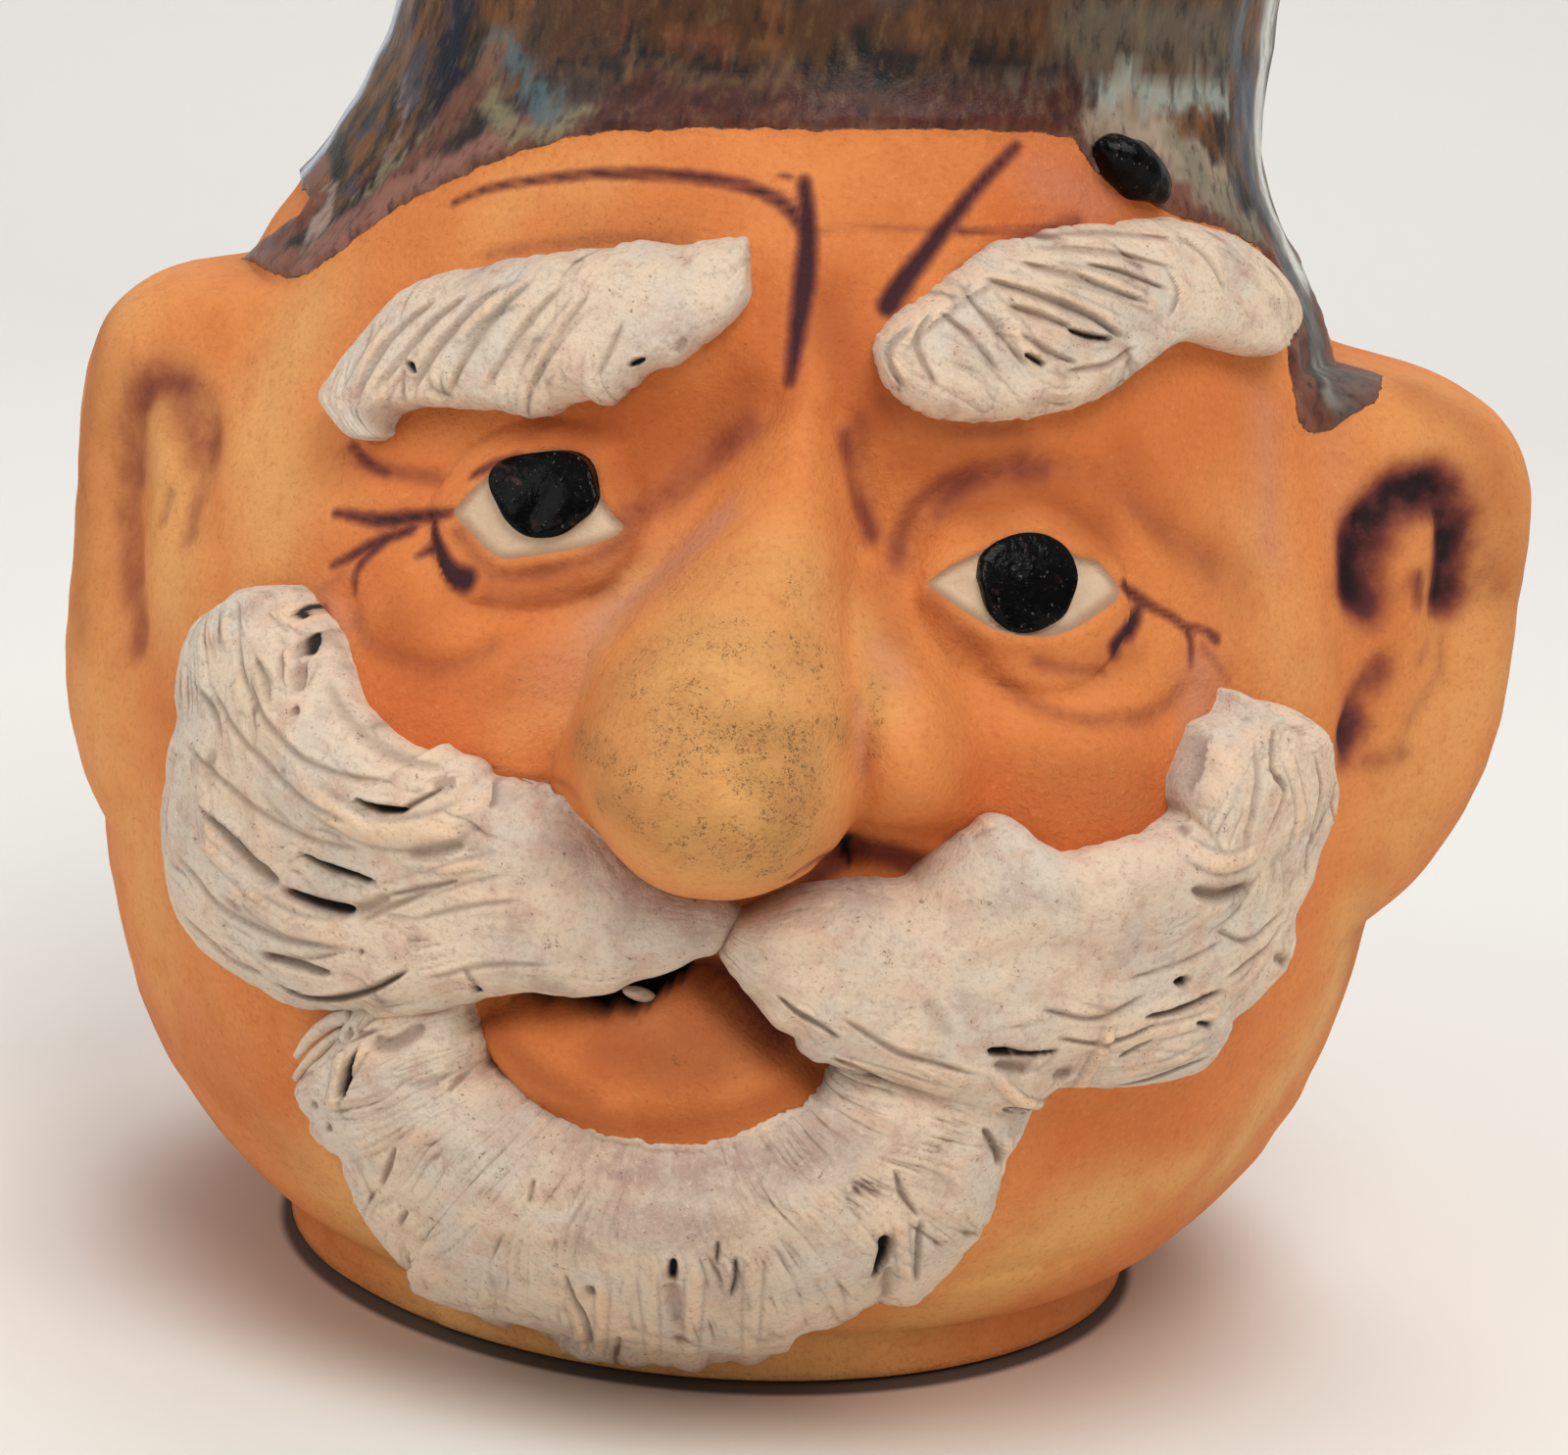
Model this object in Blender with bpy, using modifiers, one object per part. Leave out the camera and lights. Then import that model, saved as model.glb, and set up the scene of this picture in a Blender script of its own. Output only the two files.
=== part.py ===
"""A hand-made stoneware mug in the shape of a comical old man's head.

The pot is turned, pressed out into a face and given a handle at the back. The brows, the two halves of
the moustache and the beard are lumps of a white clay laid on it. Metres, +Z up, the face looks along -Y,
and the origin is the middle of the flat underside.

Places on the face are pairs of an angle and a level, which scale with the head. The angle is in degrees
around the pot, 0 at the front and positive towards +X. The level is in percent of the head's height.
Left and right are as one sees them when facing the mug.
"""
import math

import bmesh
import bpy
import numpy as np
from mathutils import Matrix

MM = 0.001

# Pot
FOOT_RADIUS = 34.0 * MM
FOOT_HEIGHT = 4.0 * MM
BELLY_RADIUS = 50.6 * MM
HEAD_HEIGHT = 90.0 * MM
SHOULDER_RISE = 10.0 * MM
NECK_RADIUS = 33.8 * MM
NECK_LENGTH = 14.0 * MM
RIM_FLARE = 1.2 * MM
NECK_LEAN = 1.5 * MM
WALL = 5.0 * MM
FLOOR = 6.0 * MM

# How far the forms of the face stand out from the turned pot, or sink into it
NOSE_REACH = 16.0 * MM
BRIDGE_REACH = 2.0 * MM
RIGHT_WING_REACH = 6.4 * MM
LEFT_WING_REACH = 5.4 * MM
FOREHEAD_REACH = 2.2 * MM
CHEEK_REACH = 3.0 * MM
CHIN_REACH = 3.0 * MM
SOCKET_DEPTH = 1.8 * MM
EYE_REACH = 2.6 * MM
POUCH_REACH = 1.3 * MM
LIP_REACH = 4.0 * MM
MOUTH_DEPTH = 2.5 * MM
LEFT_EAR_REACH = 3.3 * MM
RIGHT_EAR_REACH = 8.0 * MM
EAR_HOLLOW = 2.4 * MM

# Bead of glaze over the right brow
BEAD_LENGTH = 7.6 * MM
BEAD_WIDTH = 5.4 * MM

# White clay
BROW_THICKNESS = 4.0 * MM
MOUSTACHE_THICKNESS = 5.5 * MM
BEARD_THICKNESS = 5.5 * MM
LOCK_DEPTH = 0.9 * MM
CLAY_GAP = 0.3 * MM

# Handle
HANDLE_WIDTH = 15.0 * MM
HANDLE_DEPTH = 9.0 * MM
HANDLE_REACH = 31.0 * MM
HANDLE_TOP = 83.0 * MM
HANDLE_FOOT = 30.0 * MM

# Places and half sizes on the face
FOREHEAD = ((1.0, 91.0), (46.0, 17.0))
CHEEKS = (((-25.5, 55.5), (17.0, 12.0)), ((27.0, 53.5), (17.0, 12.0)))
CHIN = ((-3.5, 20.0), (22.0, 16.0))
LEFT_EYE = (-20.3, 72.6)
RIGHT_EYE = (22.0, 69.8)
EYEBALL_SIZE = (9.8, 6.8)
SOCKET_SIZE = (15.0, 12.5)
LEFT_BRIDGE_HOLLOW = (-8.0, 80.0)
RIGHT_BRIDGE_HOLLOW = (9.5, 76.5)
BRIDGE_HOLLOW_SIZE = (6.5, 9.0)
POUCH_SIZE = (11.0, 5.4)
POUCH_DROP = 8.4
LIP = ((-5.0, 33.0), (14.5, 7.2))
MOUTH_LINE = ((-18.0, 36.2), (-10.0, 38.2), (-3.0, 41.0), (3.0, 37.0), (8.0, 33.5))
MOUTH_HALF_WIDTH = 1.7
RIGHT_WING = ((9.0, 57.0), (6.4, 8.4))
LEFT_WING = ((-10.6, 56.0), (3.8, 6.4))
BRIDGE_HALF_WIDTH = 2.4
NOSE_HALF_WIDTH = 10.4
NOSE_WIDENING = (82.0, 64.0)
NOSE_ROOT_LEVEL = 84.0
NOSE_TIP_LEVEL = 58.0
NOSE_UNDERSIDE = 11.5
EAR_LEVEL = 62.0
EAR_HALF_HEIGHT = 24.0
EAR_HOLLOW_PLACE = ((71.5, 64.0), (8.5, 15.0))
BEAD_PLACE = (38.5, 100.5)
BEAD_TILT = 40.0

# Outlines of the white clay: the lower or inner long edge, then the other one, then the counts of locks
# along and across
LEFT_BROW = (((-4.0, 89.8), (-9.3, 85.8), (-15.1, 82.2), (-20.5, 79.2), (-31.0, 78.4), (-38.0, 75.0)),
             ((-5.0, 94.8), (-11.0, 93.8), (-20.4, 92.8), (-30.2, 91.0), (-38.2, 87.4), (-41.6, 79.0)),
             (2.5, 2.0))
RIGHT_BROW = (((8.0, 83.6), (13.5, 81.6), (19.8, 81.8), (27.6, 83.3), (37.0, 86.3), (52.6, 86.0)),
              ((7.0, 87.0), (13.0, 91.8), (19.2, 95.0), (27.9, 97.3), (39.2, 97.9), (49.0, 95.6),
               (55.2, 88.5)),
              (-2.5, 2.0))
LEFT_MOUSTACHE = (((-1.1, 41.5), (-6.7, 38.4), (-12.0, 36.7), (-20.1, 34.7), (-29.0, 31.6), (-39.5, 31.4),
                   (-48.8, 35.5), (-51.2, 44.0), (-49.9, 54.0), (-46.6, 62.6)),
                  ((-0.8, 47.5), (-5.0, 51.5), (-11.8, 54.0), (-18.7, 54.6), (-23.2, 55.9), (-27.6, 57.1),
                   (-30.6, 60.0), (-33.0, 63.2), (-37.4, 65.8)),
                  (0.0, 3.0))
RIGHT_MOUSTACHE = (((-0.4, 42.5), (3.2, 36.4), (8.0, 33.3), (16.0, 30.3), (24.9, 28.5), (37.5, 29.8),
                    (46.0, 33.4), (51.4, 43.0), (53.4, 52.0), (52.0, 58.0)),
                   ((-0.2, 47.4), (4.1, 49.2), (11.2, 50.8), (17.8, 54.8), (24.5, 52.5), (30.6, 53.6),
                    (32.8, 57.0), (35.4, 61.4), (41.2, 63.4)),
                   (0.0, 3.0))
BEARD = (((-18.4, 33.2), (-15.8, 30.8), (-11.2, 29.0), (-5.0, 27.8), (0.6, 29.0), (4.6, 31.0), (7.4, 32.0)),
         ((-33.0, 29.4), (-32.0, 21.0), (-31.0, 11.5), (-28.0, 4.8), (-17.0, 2.0), (-3.0, 1.4), (6.0, 2.6),
          (17.0, 10.8), (22.4, 17.6), (25.0, 26.6)),
         (8.0, 0.6))

# Mesh density
TURN_STEPS = 60
FRONT_CROWDING = 0.6
FACE_RINGS = 31
NECK_RINGS = 3
CAVITY_STEPS = 32
CAVITY_RINGS = 11

# Sizes that follow from the others
NECK_START = HEAD_HEIGHT + SHOULDER_RISE
RIM_HEIGHT = NECK_START + NECK_LENGTH
RIM_RADIUS = NECK_RADIUS + RIM_FLARE
WIDEST_HEIGHT = 0.467 * HEAD_HEIGHT
LIP_CORNER = 0.4 * WALL


def smooth_step(value):
    value = np.clip(value, 0.0, 1.0)
    return value * value * (3.0 - 2.0 * value)


def pot_radius(height):
    """Outer radius of the turned pot at a height: full cheeks below, a long shoulder above."""
    height = np.asarray(height, float)
    below = np.clip((WIDEST_HEIGHT - height) / (WIDEST_HEIGHT - FOOT_HEIGHT), 0.0, 1.0)
    underside = FOOT_RADIUS + (BELLY_RADIUS - FOOT_RADIUS) * (1.0 - below ** 2.5) ** 0.77
    above = np.clip((height - WIDEST_HEIGHT) / (NECK_START - WIDEST_HEIGHT), 0.0, 1.0)
    shoulder = NECK_RADIUS + (BELLY_RADIUS - NECK_RADIUS) * (1.0 - smooth_step(above ** 1.3))
    flare = RIM_FLARE * smooth_step((height - NECK_START) / NECK_LENGTH)
    return np.where(height < WIDEST_HEIGHT, underside, shoulder + flare)


def lean_shift(height):
    """How far the neck has sunk towards +X at a height."""
    return NECK_LEAN * np.clip((height - WIDEST_HEIGHT) / (RIM_HEIGHT - WIDEST_HEIGHT), 0.0, None)


def spread(points, count):
    """A smooth line through a few points, as count evenly spaced points."""
    points = np.array(points, float)
    padded = np.vstack([2 * points[0] - points[1], points, 2 * points[-1] - points[-2]])
    fine = []
    for first in range(len(points) - 1):
        p0, p1, p2, p3 = padded[first:first + 4]
        for t in np.linspace(0.0, 1.0, 12, endpoint=False):
            fine.append(0.5 * (2 * p1 + (p2 - p0) * t + (2 * p0 - 5 * p1 + 4 * p2 - p3) * t * t
                               + (3 * p1 - p0 - 3 * p2 + p3) * t ** 3))
    fine.append(points[-1])
    fine = np.array(fine)
    run = np.concatenate([[0.0], np.cumsum(np.linalg.norm(np.diff(fine, axis=0), axis=1))])
    wanted = np.linspace(0.0, run[-1], count)
    return np.column_stack([np.interp(wanted, run, fine[:, k]) for k in range(2)])


def oval(angle, level, place, size, turn):
    """Squared distance from a place in half sizes of an oval: 0 in the middle, 1 on its edge."""
    across = angle - place[0]
    up = level - place[1]
    c = math.cos(math.radians(turn))
    s = math.sin(math.radians(turn))
    return ((across * c + up * s) / size[0]) ** 2 + ((up * c - across * s) / size[1]) ** 2


def mound(angle, level, place, size, turn=0.0):
    """A soft rise: 1 in the middle, running out flat at the edge."""
    return np.clip(1.0 - oval(angle, level, place, size, turn), 0.0, 1.0) ** 2


def ball(angle, level, place, size, turn=0.0):
    """A round rise: 1 in the middle, steep at the edge."""
    return np.sqrt(np.clip(1.0 - oval(angle, level, place, size, turn), 0.0, 1.0))


def furrow(angle, level, points, half_width):
    """1 on the line through the points, falling to 0 away from it."""
    nearest = np.full(np.shape(angle), 1e9)
    line = spread(points, 14)
    for start, end in zip(line[:-1], line[1:]):
        step = end - start
        share = ((angle - start[0]) * step[0] + (level - start[1]) * step[1]) / step.dot(step)
        share = np.clip(share, 0.0, 1.0)
        gap = (angle - start[0] - share * step[0]) ** 2 + (level - start[1] - share * step[1]) ** 2
        nearest = np.minimum(nearest, gap)
    return np.exp(-nearest / half_width ** 2)


def nose(angle, level):
    """A wedge that widens and rises towards its tip, with a wing on each side. It leans to the left."""
    down = np.clip((NOSE_ROOT_LEVEL - level) / (NOSE_ROOT_LEVEL - NOSE_TIP_LEVEL), 0.0, 1.0)
    under = np.clip((NOSE_TIP_LEVEL - level) / NOSE_UNDERSIDE, 0.0, 1.0)
    rounding = (1.0 - under ** 1.7) ** 0.6
    middle = 1.8 - 3.8 * smooth_step(down)
    widening = np.clip((NOSE_WIDENING[0] - level) / (NOSE_WIDENING[0] - NOSE_WIDENING[1]), 0.0, 1.0)
    half_width = BRIDGE_HALF_WIDTH + (NOSE_HALF_WIDTH - BRIDGE_HALF_WIDTH) * widening
    half_width = half_width * (0.15 + 0.85 * rounding)
    across = np.clip(np.abs(angle - middle) / half_width, 0.0, 1.0)
    root = smooth_step((NOSE_ROOT_LEVEL + 8.0 - level) / 10.0)
    reach = (BRIDGE_REACH + (NOSE_REACH - BRIDGE_REACH) * down ** 1.1) * root
    wedge = reach * rounding * (1.0 - across ** 2.2)
    right = RIGHT_WING_REACH * ball(angle, level, *RIGHT_WING, 18.0)
    left = LEFT_WING_REACH * ball(angle, level, *LEFT_WING, -18.0)
    return np.maximum.reduce([wedge, right, left])


def eye(angle, level, middle, hollow, side):
    """A socket with an eyeball and a pouch under it. side is -1 on the left."""
    shape = EYE_REACH * ball(angle, level, middle, EYEBALL_SIZE, -4.0 * side)
    shape = shape - SOCKET_DEPTH * mound(angle, level, middle, SOCKET_SIZE)
    shape = shape - 0.6 * SOCKET_DEPTH * mound(angle, level, hollow, BRIDGE_HOLLOW_SIZE)
    pouch = (middle[0] + 1.5 * side, middle[1] - POUCH_DROP)
    return shape + POUCH_REACH * mound(angle, level, pouch, POUCH_SIZE, 8.0 * side)


def mouth(angle, level):
    lip = LIP_REACH * ball(angle, level, *LIP, -6.0)
    return lip - (MOUTH_DEPTH + 0.4 * lip) * furrow(angle, level, MOUTH_LINE, MOUTH_HALF_WIDTH)


def ear(angle, level, side, reach, lobe):
    """A thick flap with a hollow in its front. side is -1 on the left, and lobe rounds its lower edge."""
    up = (level - EAR_LEVEL) / EAR_HALF_HEIGHT
    above = (1.0 - np.clip(up, 0.0, 1.0) ** 3.6) ** 0.5
    below = (1.0 - np.clip(-up, 0.0, 1.0) ** lobe) ** 0.7
    crest = BELLY_RADIUS + reach - pot_radius(level / 100.0 * HEAD_HEIGHT)
    crest = crest * np.where(up > 0.0, above, below)
    turn = side * angle
    flap = crest * smooth_step((turn - 58.0) / 20.0) * smooth_step((98.0 - turn) / 10.0)
    return flap - EAR_HOLLOW * mound(turn, level, *EAR_HOLLOW_PLACE)


def broad_relief(angle, level):
    """The face without its small or steep forms."""
    shape = FOREHEAD_REACH * mound(angle, level, *FOREHEAD) + CHIN_REACH * mound(angle, level, *CHIN)
    for cheek in CHEEKS:
        shape = shape + CHEEK_REACH * mound(angle, level, *cheek)
    return shape


def relief(angle, level):
    """How far the face stands out from the turned pot."""
    shape = broad_relief(angle, level) + mouth(angle, level)
    shape = shape + eye(angle, level, LEFT_EYE, LEFT_BRIDGE_HOLLOW, -1.0)
    shape = shape + eye(angle, level, RIGHT_EYE, RIGHT_BRIDGE_HOLLOW, 1.0)
    shape = shape + ear(angle, level, -1.0, LEFT_EAR_REACH, 4.0)
    shape = shape + ear(angle, level, 1.0, RIGHT_EAR_REACH, 2.0)
    nose_shape = nose(angle, level)
    return np.maximum(shape, nose_shape) + 0.3 * np.minimum(np.maximum(shape, 0.0), nose_shape)


def head_point(angle, level, stand_off):
    """A point stand_off outside the broad form of the face."""
    height = level / 100.0 * HEAD_HEIGHT
    radius = pot_radius(height) + broad_relief(angle, level) + stand_off
    turn = math.radians(angle)
    return radius * math.sin(turn) + lean_shift(height), -radius * math.cos(turn), height


def add_object(name, mesh):
    thing = bpy.data.objects.new(name, mesh)
    bpy.context.scene.collection.objects.link(thing)
    return thing


def evaluated_mesh(thing):
    bpy.context.view_layer.update()
    return bpy.data.meshes.new_from_object(thing.evaluated_get(bpy.context.evaluated_depsgraph_get()))


def apply_modifiers(thing):
    """Replace an object's mesh by what its modifiers make of it."""
    made = evaluated_mesh(thing)
    old = thing.data
    thing.modifiers.clear()
    thing.data = made
    bpy.data.meshes.remove(old)


def combine(thing, other, operation):
    boolean = thing.modifiers.new("Boolean", "BOOLEAN")
    boolean.operation = operation
    boolean.solver = "EXACT"
    boolean.object = other
    apply_modifiers(thing)


def outside_profile():
    """The outside of the pot, from the middle of its closed top down to the middle of its underside."""
    foot = [0.0, 0.5 * FOOT_HEIGHT]
    face = list(np.linspace(FOOT_HEIGHT, 1.03 * HEAD_HEIGHT, FACE_RINGS + 1))
    neck = list(np.linspace(1.03 * HEAD_HEIGHT, RIM_HEIGHT - LIP_CORNER, NECK_RINGS + 1)[1:])
    wall = [(float(pot_radius(z)), float(z)) for z in foot + face + neck]
    corner = 0.3 * LIP_CORNER
    lip = [(RIM_RADIUS - corner, RIM_HEIGHT - corner), (RIM_RADIUS - LIP_CORNER, RIM_HEIGHT)]
    return [(0.0, RIM_HEIGHT)] + lip[::-1] + wall[::-1] + [(0.0, 0.0)]


def cavity_profile():
    """The cavity, a wall's thickness inside the pot, from above the rim down to the middle of the floor."""
    heights = np.linspace(FOOT_HEIGHT, RIM_HEIGHT, 200)
    radii = pot_radius(heights)
    slope = np.gradient(radii) / np.gradient(heights)
    length = np.hypot(slope, 1.0)
    inner_r = radii - WALL / length
    inner_z = heights + WALL * slope / length
    levels = np.linspace(FLOOR, RIM_HEIGHT - LIP_CORNER, CAVITY_RINGS + 1)
    wall = [(float(np.interp(z, inner_z, inner_r)), float(z)) for z in levels]
    corner = 0.15 * WALL
    floor_radius = wall[0][0]
    floor = [(0.0, FLOOR), (floor_radius - 4.0 * corner, FLOOR), (floor_radius, FLOOR + corner)]
    inside = RIM_RADIUS - WALL
    lip = [(inside + 0.3 * LIP_CORNER, RIM_HEIGHT - 0.3 * LIP_CORNER), (inside + LIP_CORNER, RIM_HEIGHT),
           (inside + LIP_CORNER, RIM_HEIGHT + WALL), (0.0, RIM_HEIGHT + WALL)]
    return (floor + wall[1:] + lip)[::-1]


def turned(name, profile, steps):
    """A profile turned once around Z."""
    shape = bmesh.new()
    corners = [shape.verts.new((r, 0.0, z)) for r, z in profile]
    for start, end in zip(corners[:-1], corners[1:]):
        shape.edges.new((start, end))
    mesh = bpy.data.meshes.new(name)
    shape.to_mesh(mesh)
    shape.free()
    blank = add_object(name, mesh)
    screw = blank.modifiers.new("Turn", "SCREW")
    screw.steps = steps
    screw.render_steps = steps
    screw.use_merge_vertices = True
    screw.merge_threshold = 0.00005
    apply_modifiers(blank)
    return blank


def press(thing, stand_off):
    """Move the points of a turned blank out to the face, closer together at the front, and lean the neck."""
    places = np.empty(len(thing.data.vertices) * 3)
    thing.data.vertices.foreach_get("co", places)
    places = places.reshape(-1, 3)
    radius = np.hypot(places[:, 0], places[:, 1])
    height = places[:, 2]
    turn = np.arctan2(places[:, 0], -places[:, 1])
    turn = turn - FRONT_CROWDING * np.sin(turn)
    outside = (radius > 0.9 * FOOT_RADIUS) & (height > 0.0) & (height < RIM_HEIGHT - WALL)
    out = relief(np.degrees(turn), height / HEAD_HEIGHT * 100.0) + stand_off
    radius = radius + np.where(outside, out, 0.0)
    moved = np.stack([radius * np.sin(turn) + lean_shift(height), -radius * np.cos(turn), height], axis=-1)
    thing.data.vertices.foreach_set("co", moved.ravel())


def make_triangles(thing):
    """Split every face the same way, so that two copies of one form have the same facets."""
    shape = bmesh.new()
    shape.from_mesh(thing.data)
    bmesh.ops.triangulate(shape, faces=shape.faces, quad_method="FIXED")
    shape.to_mesh(thing.data)
    shape.free()


def head(name, stand_off):
    """The outside of the mug as a full solid, or a copy of it that is stand_off larger."""
    thing = turned(name, outside_profile(), TURN_STEPS)
    press(thing, stand_off)
    make_triangles(thing)
    bead = glaze_bead(stand_off)
    combine(thing, bead, "UNION")
    bpy.data.objects.remove(bead)
    return thing


def cavity():
    thing = turned("cavity", cavity_profile(), CAVITY_STEPS)
    for corner in thing.data.vertices:
        corner.co.x += float(lean_shift(corner.co.z))
    return thing


def glaze_bead(stand_off):
    """A thick bead where the glaze ran down over the right of the forehead."""
    shape = bmesh.new()
    bmesh.ops.create_icosphere(shape, subdivisions=2, radius=0.5)
    sizes = [size + 2.0 * stand_off for size in (BEAD_LENGTH, BEAD_WIDTH, BEAD_WIDTH)]
    bmesh.ops.scale(shape, verts=shape.verts, vec=sizes)
    for turn, axis in ((BEAD_TILT, "Y"), (BEAD_PLACE[0], "Z")):
        matrix = Matrix.Rotation(math.radians(turn), 3, axis)
        bmesh.ops.rotate(shape, verts=shape.verts, cent=(0, 0, 0), matrix=matrix)
    bmesh.ops.translate(shape, verts=shape.verts, vec=head_point(*BEAD_PLACE, 0.1 * BEAD_WIDTH))
    mesh = bpy.data.meshes.new("glaze bead")
    shape.to_mesh(mesh)
    shape.free()
    return add_object("glaze bead", mesh)


def handle():
    """A flattened loop at the back, thickest where it joins the pot."""
    top = float(pot_radius(HANDLE_TOP)) - 0.5 * WALL
    foot = float(pot_radius(HANDLE_FOOT)) - 0.5 * WALL
    outermost = BELLY_RADIUS + HANDLE_REACH - 0.5 * HANDLE_DEPTH
    tall = HANDLE_TOP - HANDLE_FOOT
    points = [(top, HANDLE_TOP), (top + 0.45 * (outermost - top), HANDLE_TOP + 0.06 * tall),
              (outermost - 0.12 * HANDLE_REACH, HANDLE_TOP - 0.1 * tall),
              (outermost, HANDLE_TOP - 0.38 * tall),
              (outermost - 0.15 * HANDLE_REACH, HANDLE_TOP - 0.7 * tall),
              (outermost - 0.5 * HANDLE_REACH, HANDLE_FOOT + 0.06 * tall), (foot, HANDLE_FOOT - 0.04 * tall)]
    route = spread(points, 18)
    curve = bpy.data.curves.new("handle", "CURVE")
    curve.dimensions = "3D"
    curve.bevel_depth = 0.5 * HANDLE_DEPTH
    curve.bevel_resolution = 3
    curve.use_fill_caps = True
    line = curve.splines.new("POLY")
    line.points.add(len(route) - 1)
    for number, (point, (y, z)) in enumerate(zip(line.points, route)):
        point.co = (0.0, y, z, 1.0)
        point.radius = 1.0 + 0.25 * math.cos(2.0 * math.pi * number / (len(route) - 1))
    drawn = add_object("handle curve", curve)
    mesh = evaluated_mesh(drawn)
    bpy.data.objects.remove(drawn)
    shape = bmesh.new()
    shape.from_mesh(mesh)
    bmesh.ops.remove_doubles(shape, verts=shape.verts, dist=0.00005)
    for corner in shape.verts:
        corner.co.x = corner.co.x * HANDLE_WIDTH / HANDLE_DEPTH + float(lean_shift(corner.co.z))
    bmesh.ops.recalc_face_normals(shape, faces=shape.faces)
    shape.to_mesh(mesh)
    shape.free()
    return add_object("handle", mesh)


def mug():
    thing = head("mug", 0.0)
    for other, operation in ((handle(), "UNION"), (cavity(), "DIFFERENCE")):
        combine(thing, other, operation)
        bpy.data.objects.remove(other)
    return thing


def lump(name, outline, thickness, across_count, along_count):
    """A lump of white clay: a combed sheet between two edges, thickened down into the wall."""
    near = spread(outline[0], along_count)
    far = spread(outline[1], along_count)
    locks_along, locks_across = outline[2]
    shape = bmesh.new()
    bmesh.ops.create_grid(shape, x_segments=along_count - 1, y_segments=across_count - 1, size=0.5)
    top = set(shape.verts)
    bmesh.ops.extrude_face_region(shape, geom=shape.faces[:])
    for corner in shape.verts:
        along = corner.co.x + 0.5
        across = corner.co.y + 0.5
        station = round(along * (along_count - 1))
        angle, level = near[station] + (far[station] - near[station]) * across
        stand_off = -0.4 * WALL
        if corner in top:
            crown = (1.0 - abs(2.0 * across - 1.0) ** 3) ** 0.5 * (1.0 - abs(2.0 * along - 1.0) ** 6) ** 0.5
            comb = math.cos(2.0 * math.pi * (locks_along * along + locks_across * across))
            stand_off = thickness * (0.25 + 0.75 * crown) + 0.5 * LOCK_DEPTH * comb * crown
        corner.co = head_point(angle, level, stand_off)
    bmesh.ops.recalc_face_normals(shape, faces=shape.faces)
    mesh = bpy.data.meshes.new(name)
    shape.to_mesh(mesh)
    shape.free()
    return add_object(name, mesh)


def lumps():
    return [lump("brow_left", LEFT_BROW, BROW_THICKNESS, 6, 11),
            lump("brow_right", RIGHT_BROW, BROW_THICKNESS, 6, 11),
            lump("moustache_left", LEFT_MOUSTACHE, MOUSTACHE_THICKNESS, 7, 16),
            lump("moustache_right", RIGHT_MOUSTACHE, MOUSTACHE_THICKNESS, 7, 16),
            lump("beard", BEARD, BEARD_THICKNESS, 6, 17)]


def finish(thing, collection, color, roughness):
    """File an object under its collection, shade it smooth and give it a clay of its own."""
    for holder in list(thing.users_collection):
        holder.objects.unlink(thing)
    collection.objects.link(thing)
    material = bpy.data.materials.new(thing.name + " clay")
    material.use_nodes = True
    shader = material.node_tree.nodes["Principled BSDF"]
    shader.inputs["Base Color"].default_value = (*color, 1.0)
    shader.inputs["Roughness"].default_value = roughness
    shader.inputs["Metallic"].default_value = 0.0
    thing.data.materials.clear()
    thing.data.materials.append(material)
    thing.data.shade_smooth()
    thing.data.set_sharp_from_angle(angle=math.radians(50.0))


def main():
    for thing in list(bpy.data.objects):
        bpy.data.objects.remove(thing)
    parts = bpy.data.collections.new("face mug")
    cutters = bpy.data.collections.new("cutters")
    for holder in (parts, cutters):
        bpy.context.scene.collection.children.link(holder)
    finish(mug(), parts, (0.66, 0.29, 0.10), 0.75)
    seat = head("lump seat", CLAY_GAP)
    finish(seat, cutters, (0.5, 0.5, 0.5), 1.0)
    seat.hide_render = True
    seat.display_type = "WIRE"
    for thing in lumps():
        combine(thing, seat, "DIFFERENCE")
        finish(thing, parts, (0.72, 0.66, 0.60), 0.85)


main()
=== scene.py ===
import math

import bmesh
import bpy
import numpy as np
from mathutils import Matrix, Vector


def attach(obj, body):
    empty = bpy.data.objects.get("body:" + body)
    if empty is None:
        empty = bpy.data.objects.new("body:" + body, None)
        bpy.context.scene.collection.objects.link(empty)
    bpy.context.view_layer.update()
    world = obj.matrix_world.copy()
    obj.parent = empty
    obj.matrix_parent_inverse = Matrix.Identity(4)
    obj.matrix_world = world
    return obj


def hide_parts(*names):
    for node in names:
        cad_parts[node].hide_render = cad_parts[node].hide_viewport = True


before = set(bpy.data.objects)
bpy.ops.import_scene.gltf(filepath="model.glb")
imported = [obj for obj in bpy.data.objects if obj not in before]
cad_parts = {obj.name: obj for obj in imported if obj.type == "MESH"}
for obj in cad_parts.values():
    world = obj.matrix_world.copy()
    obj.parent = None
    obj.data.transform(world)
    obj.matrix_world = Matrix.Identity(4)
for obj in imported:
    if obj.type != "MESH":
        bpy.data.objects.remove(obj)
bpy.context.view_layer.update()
mm = 0.001
print("frame loaded")

# Camera: place in mm, turns in degrees, focal length in pixels of the whole picture
shot = {"place": (0.0, -300.0, 110.4), "yaw": 0.54, "pitch": -12.81, "roll": 4.86,
        "focal": 3931.0, "width": 1600.0, "height": 1485.0}


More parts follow.
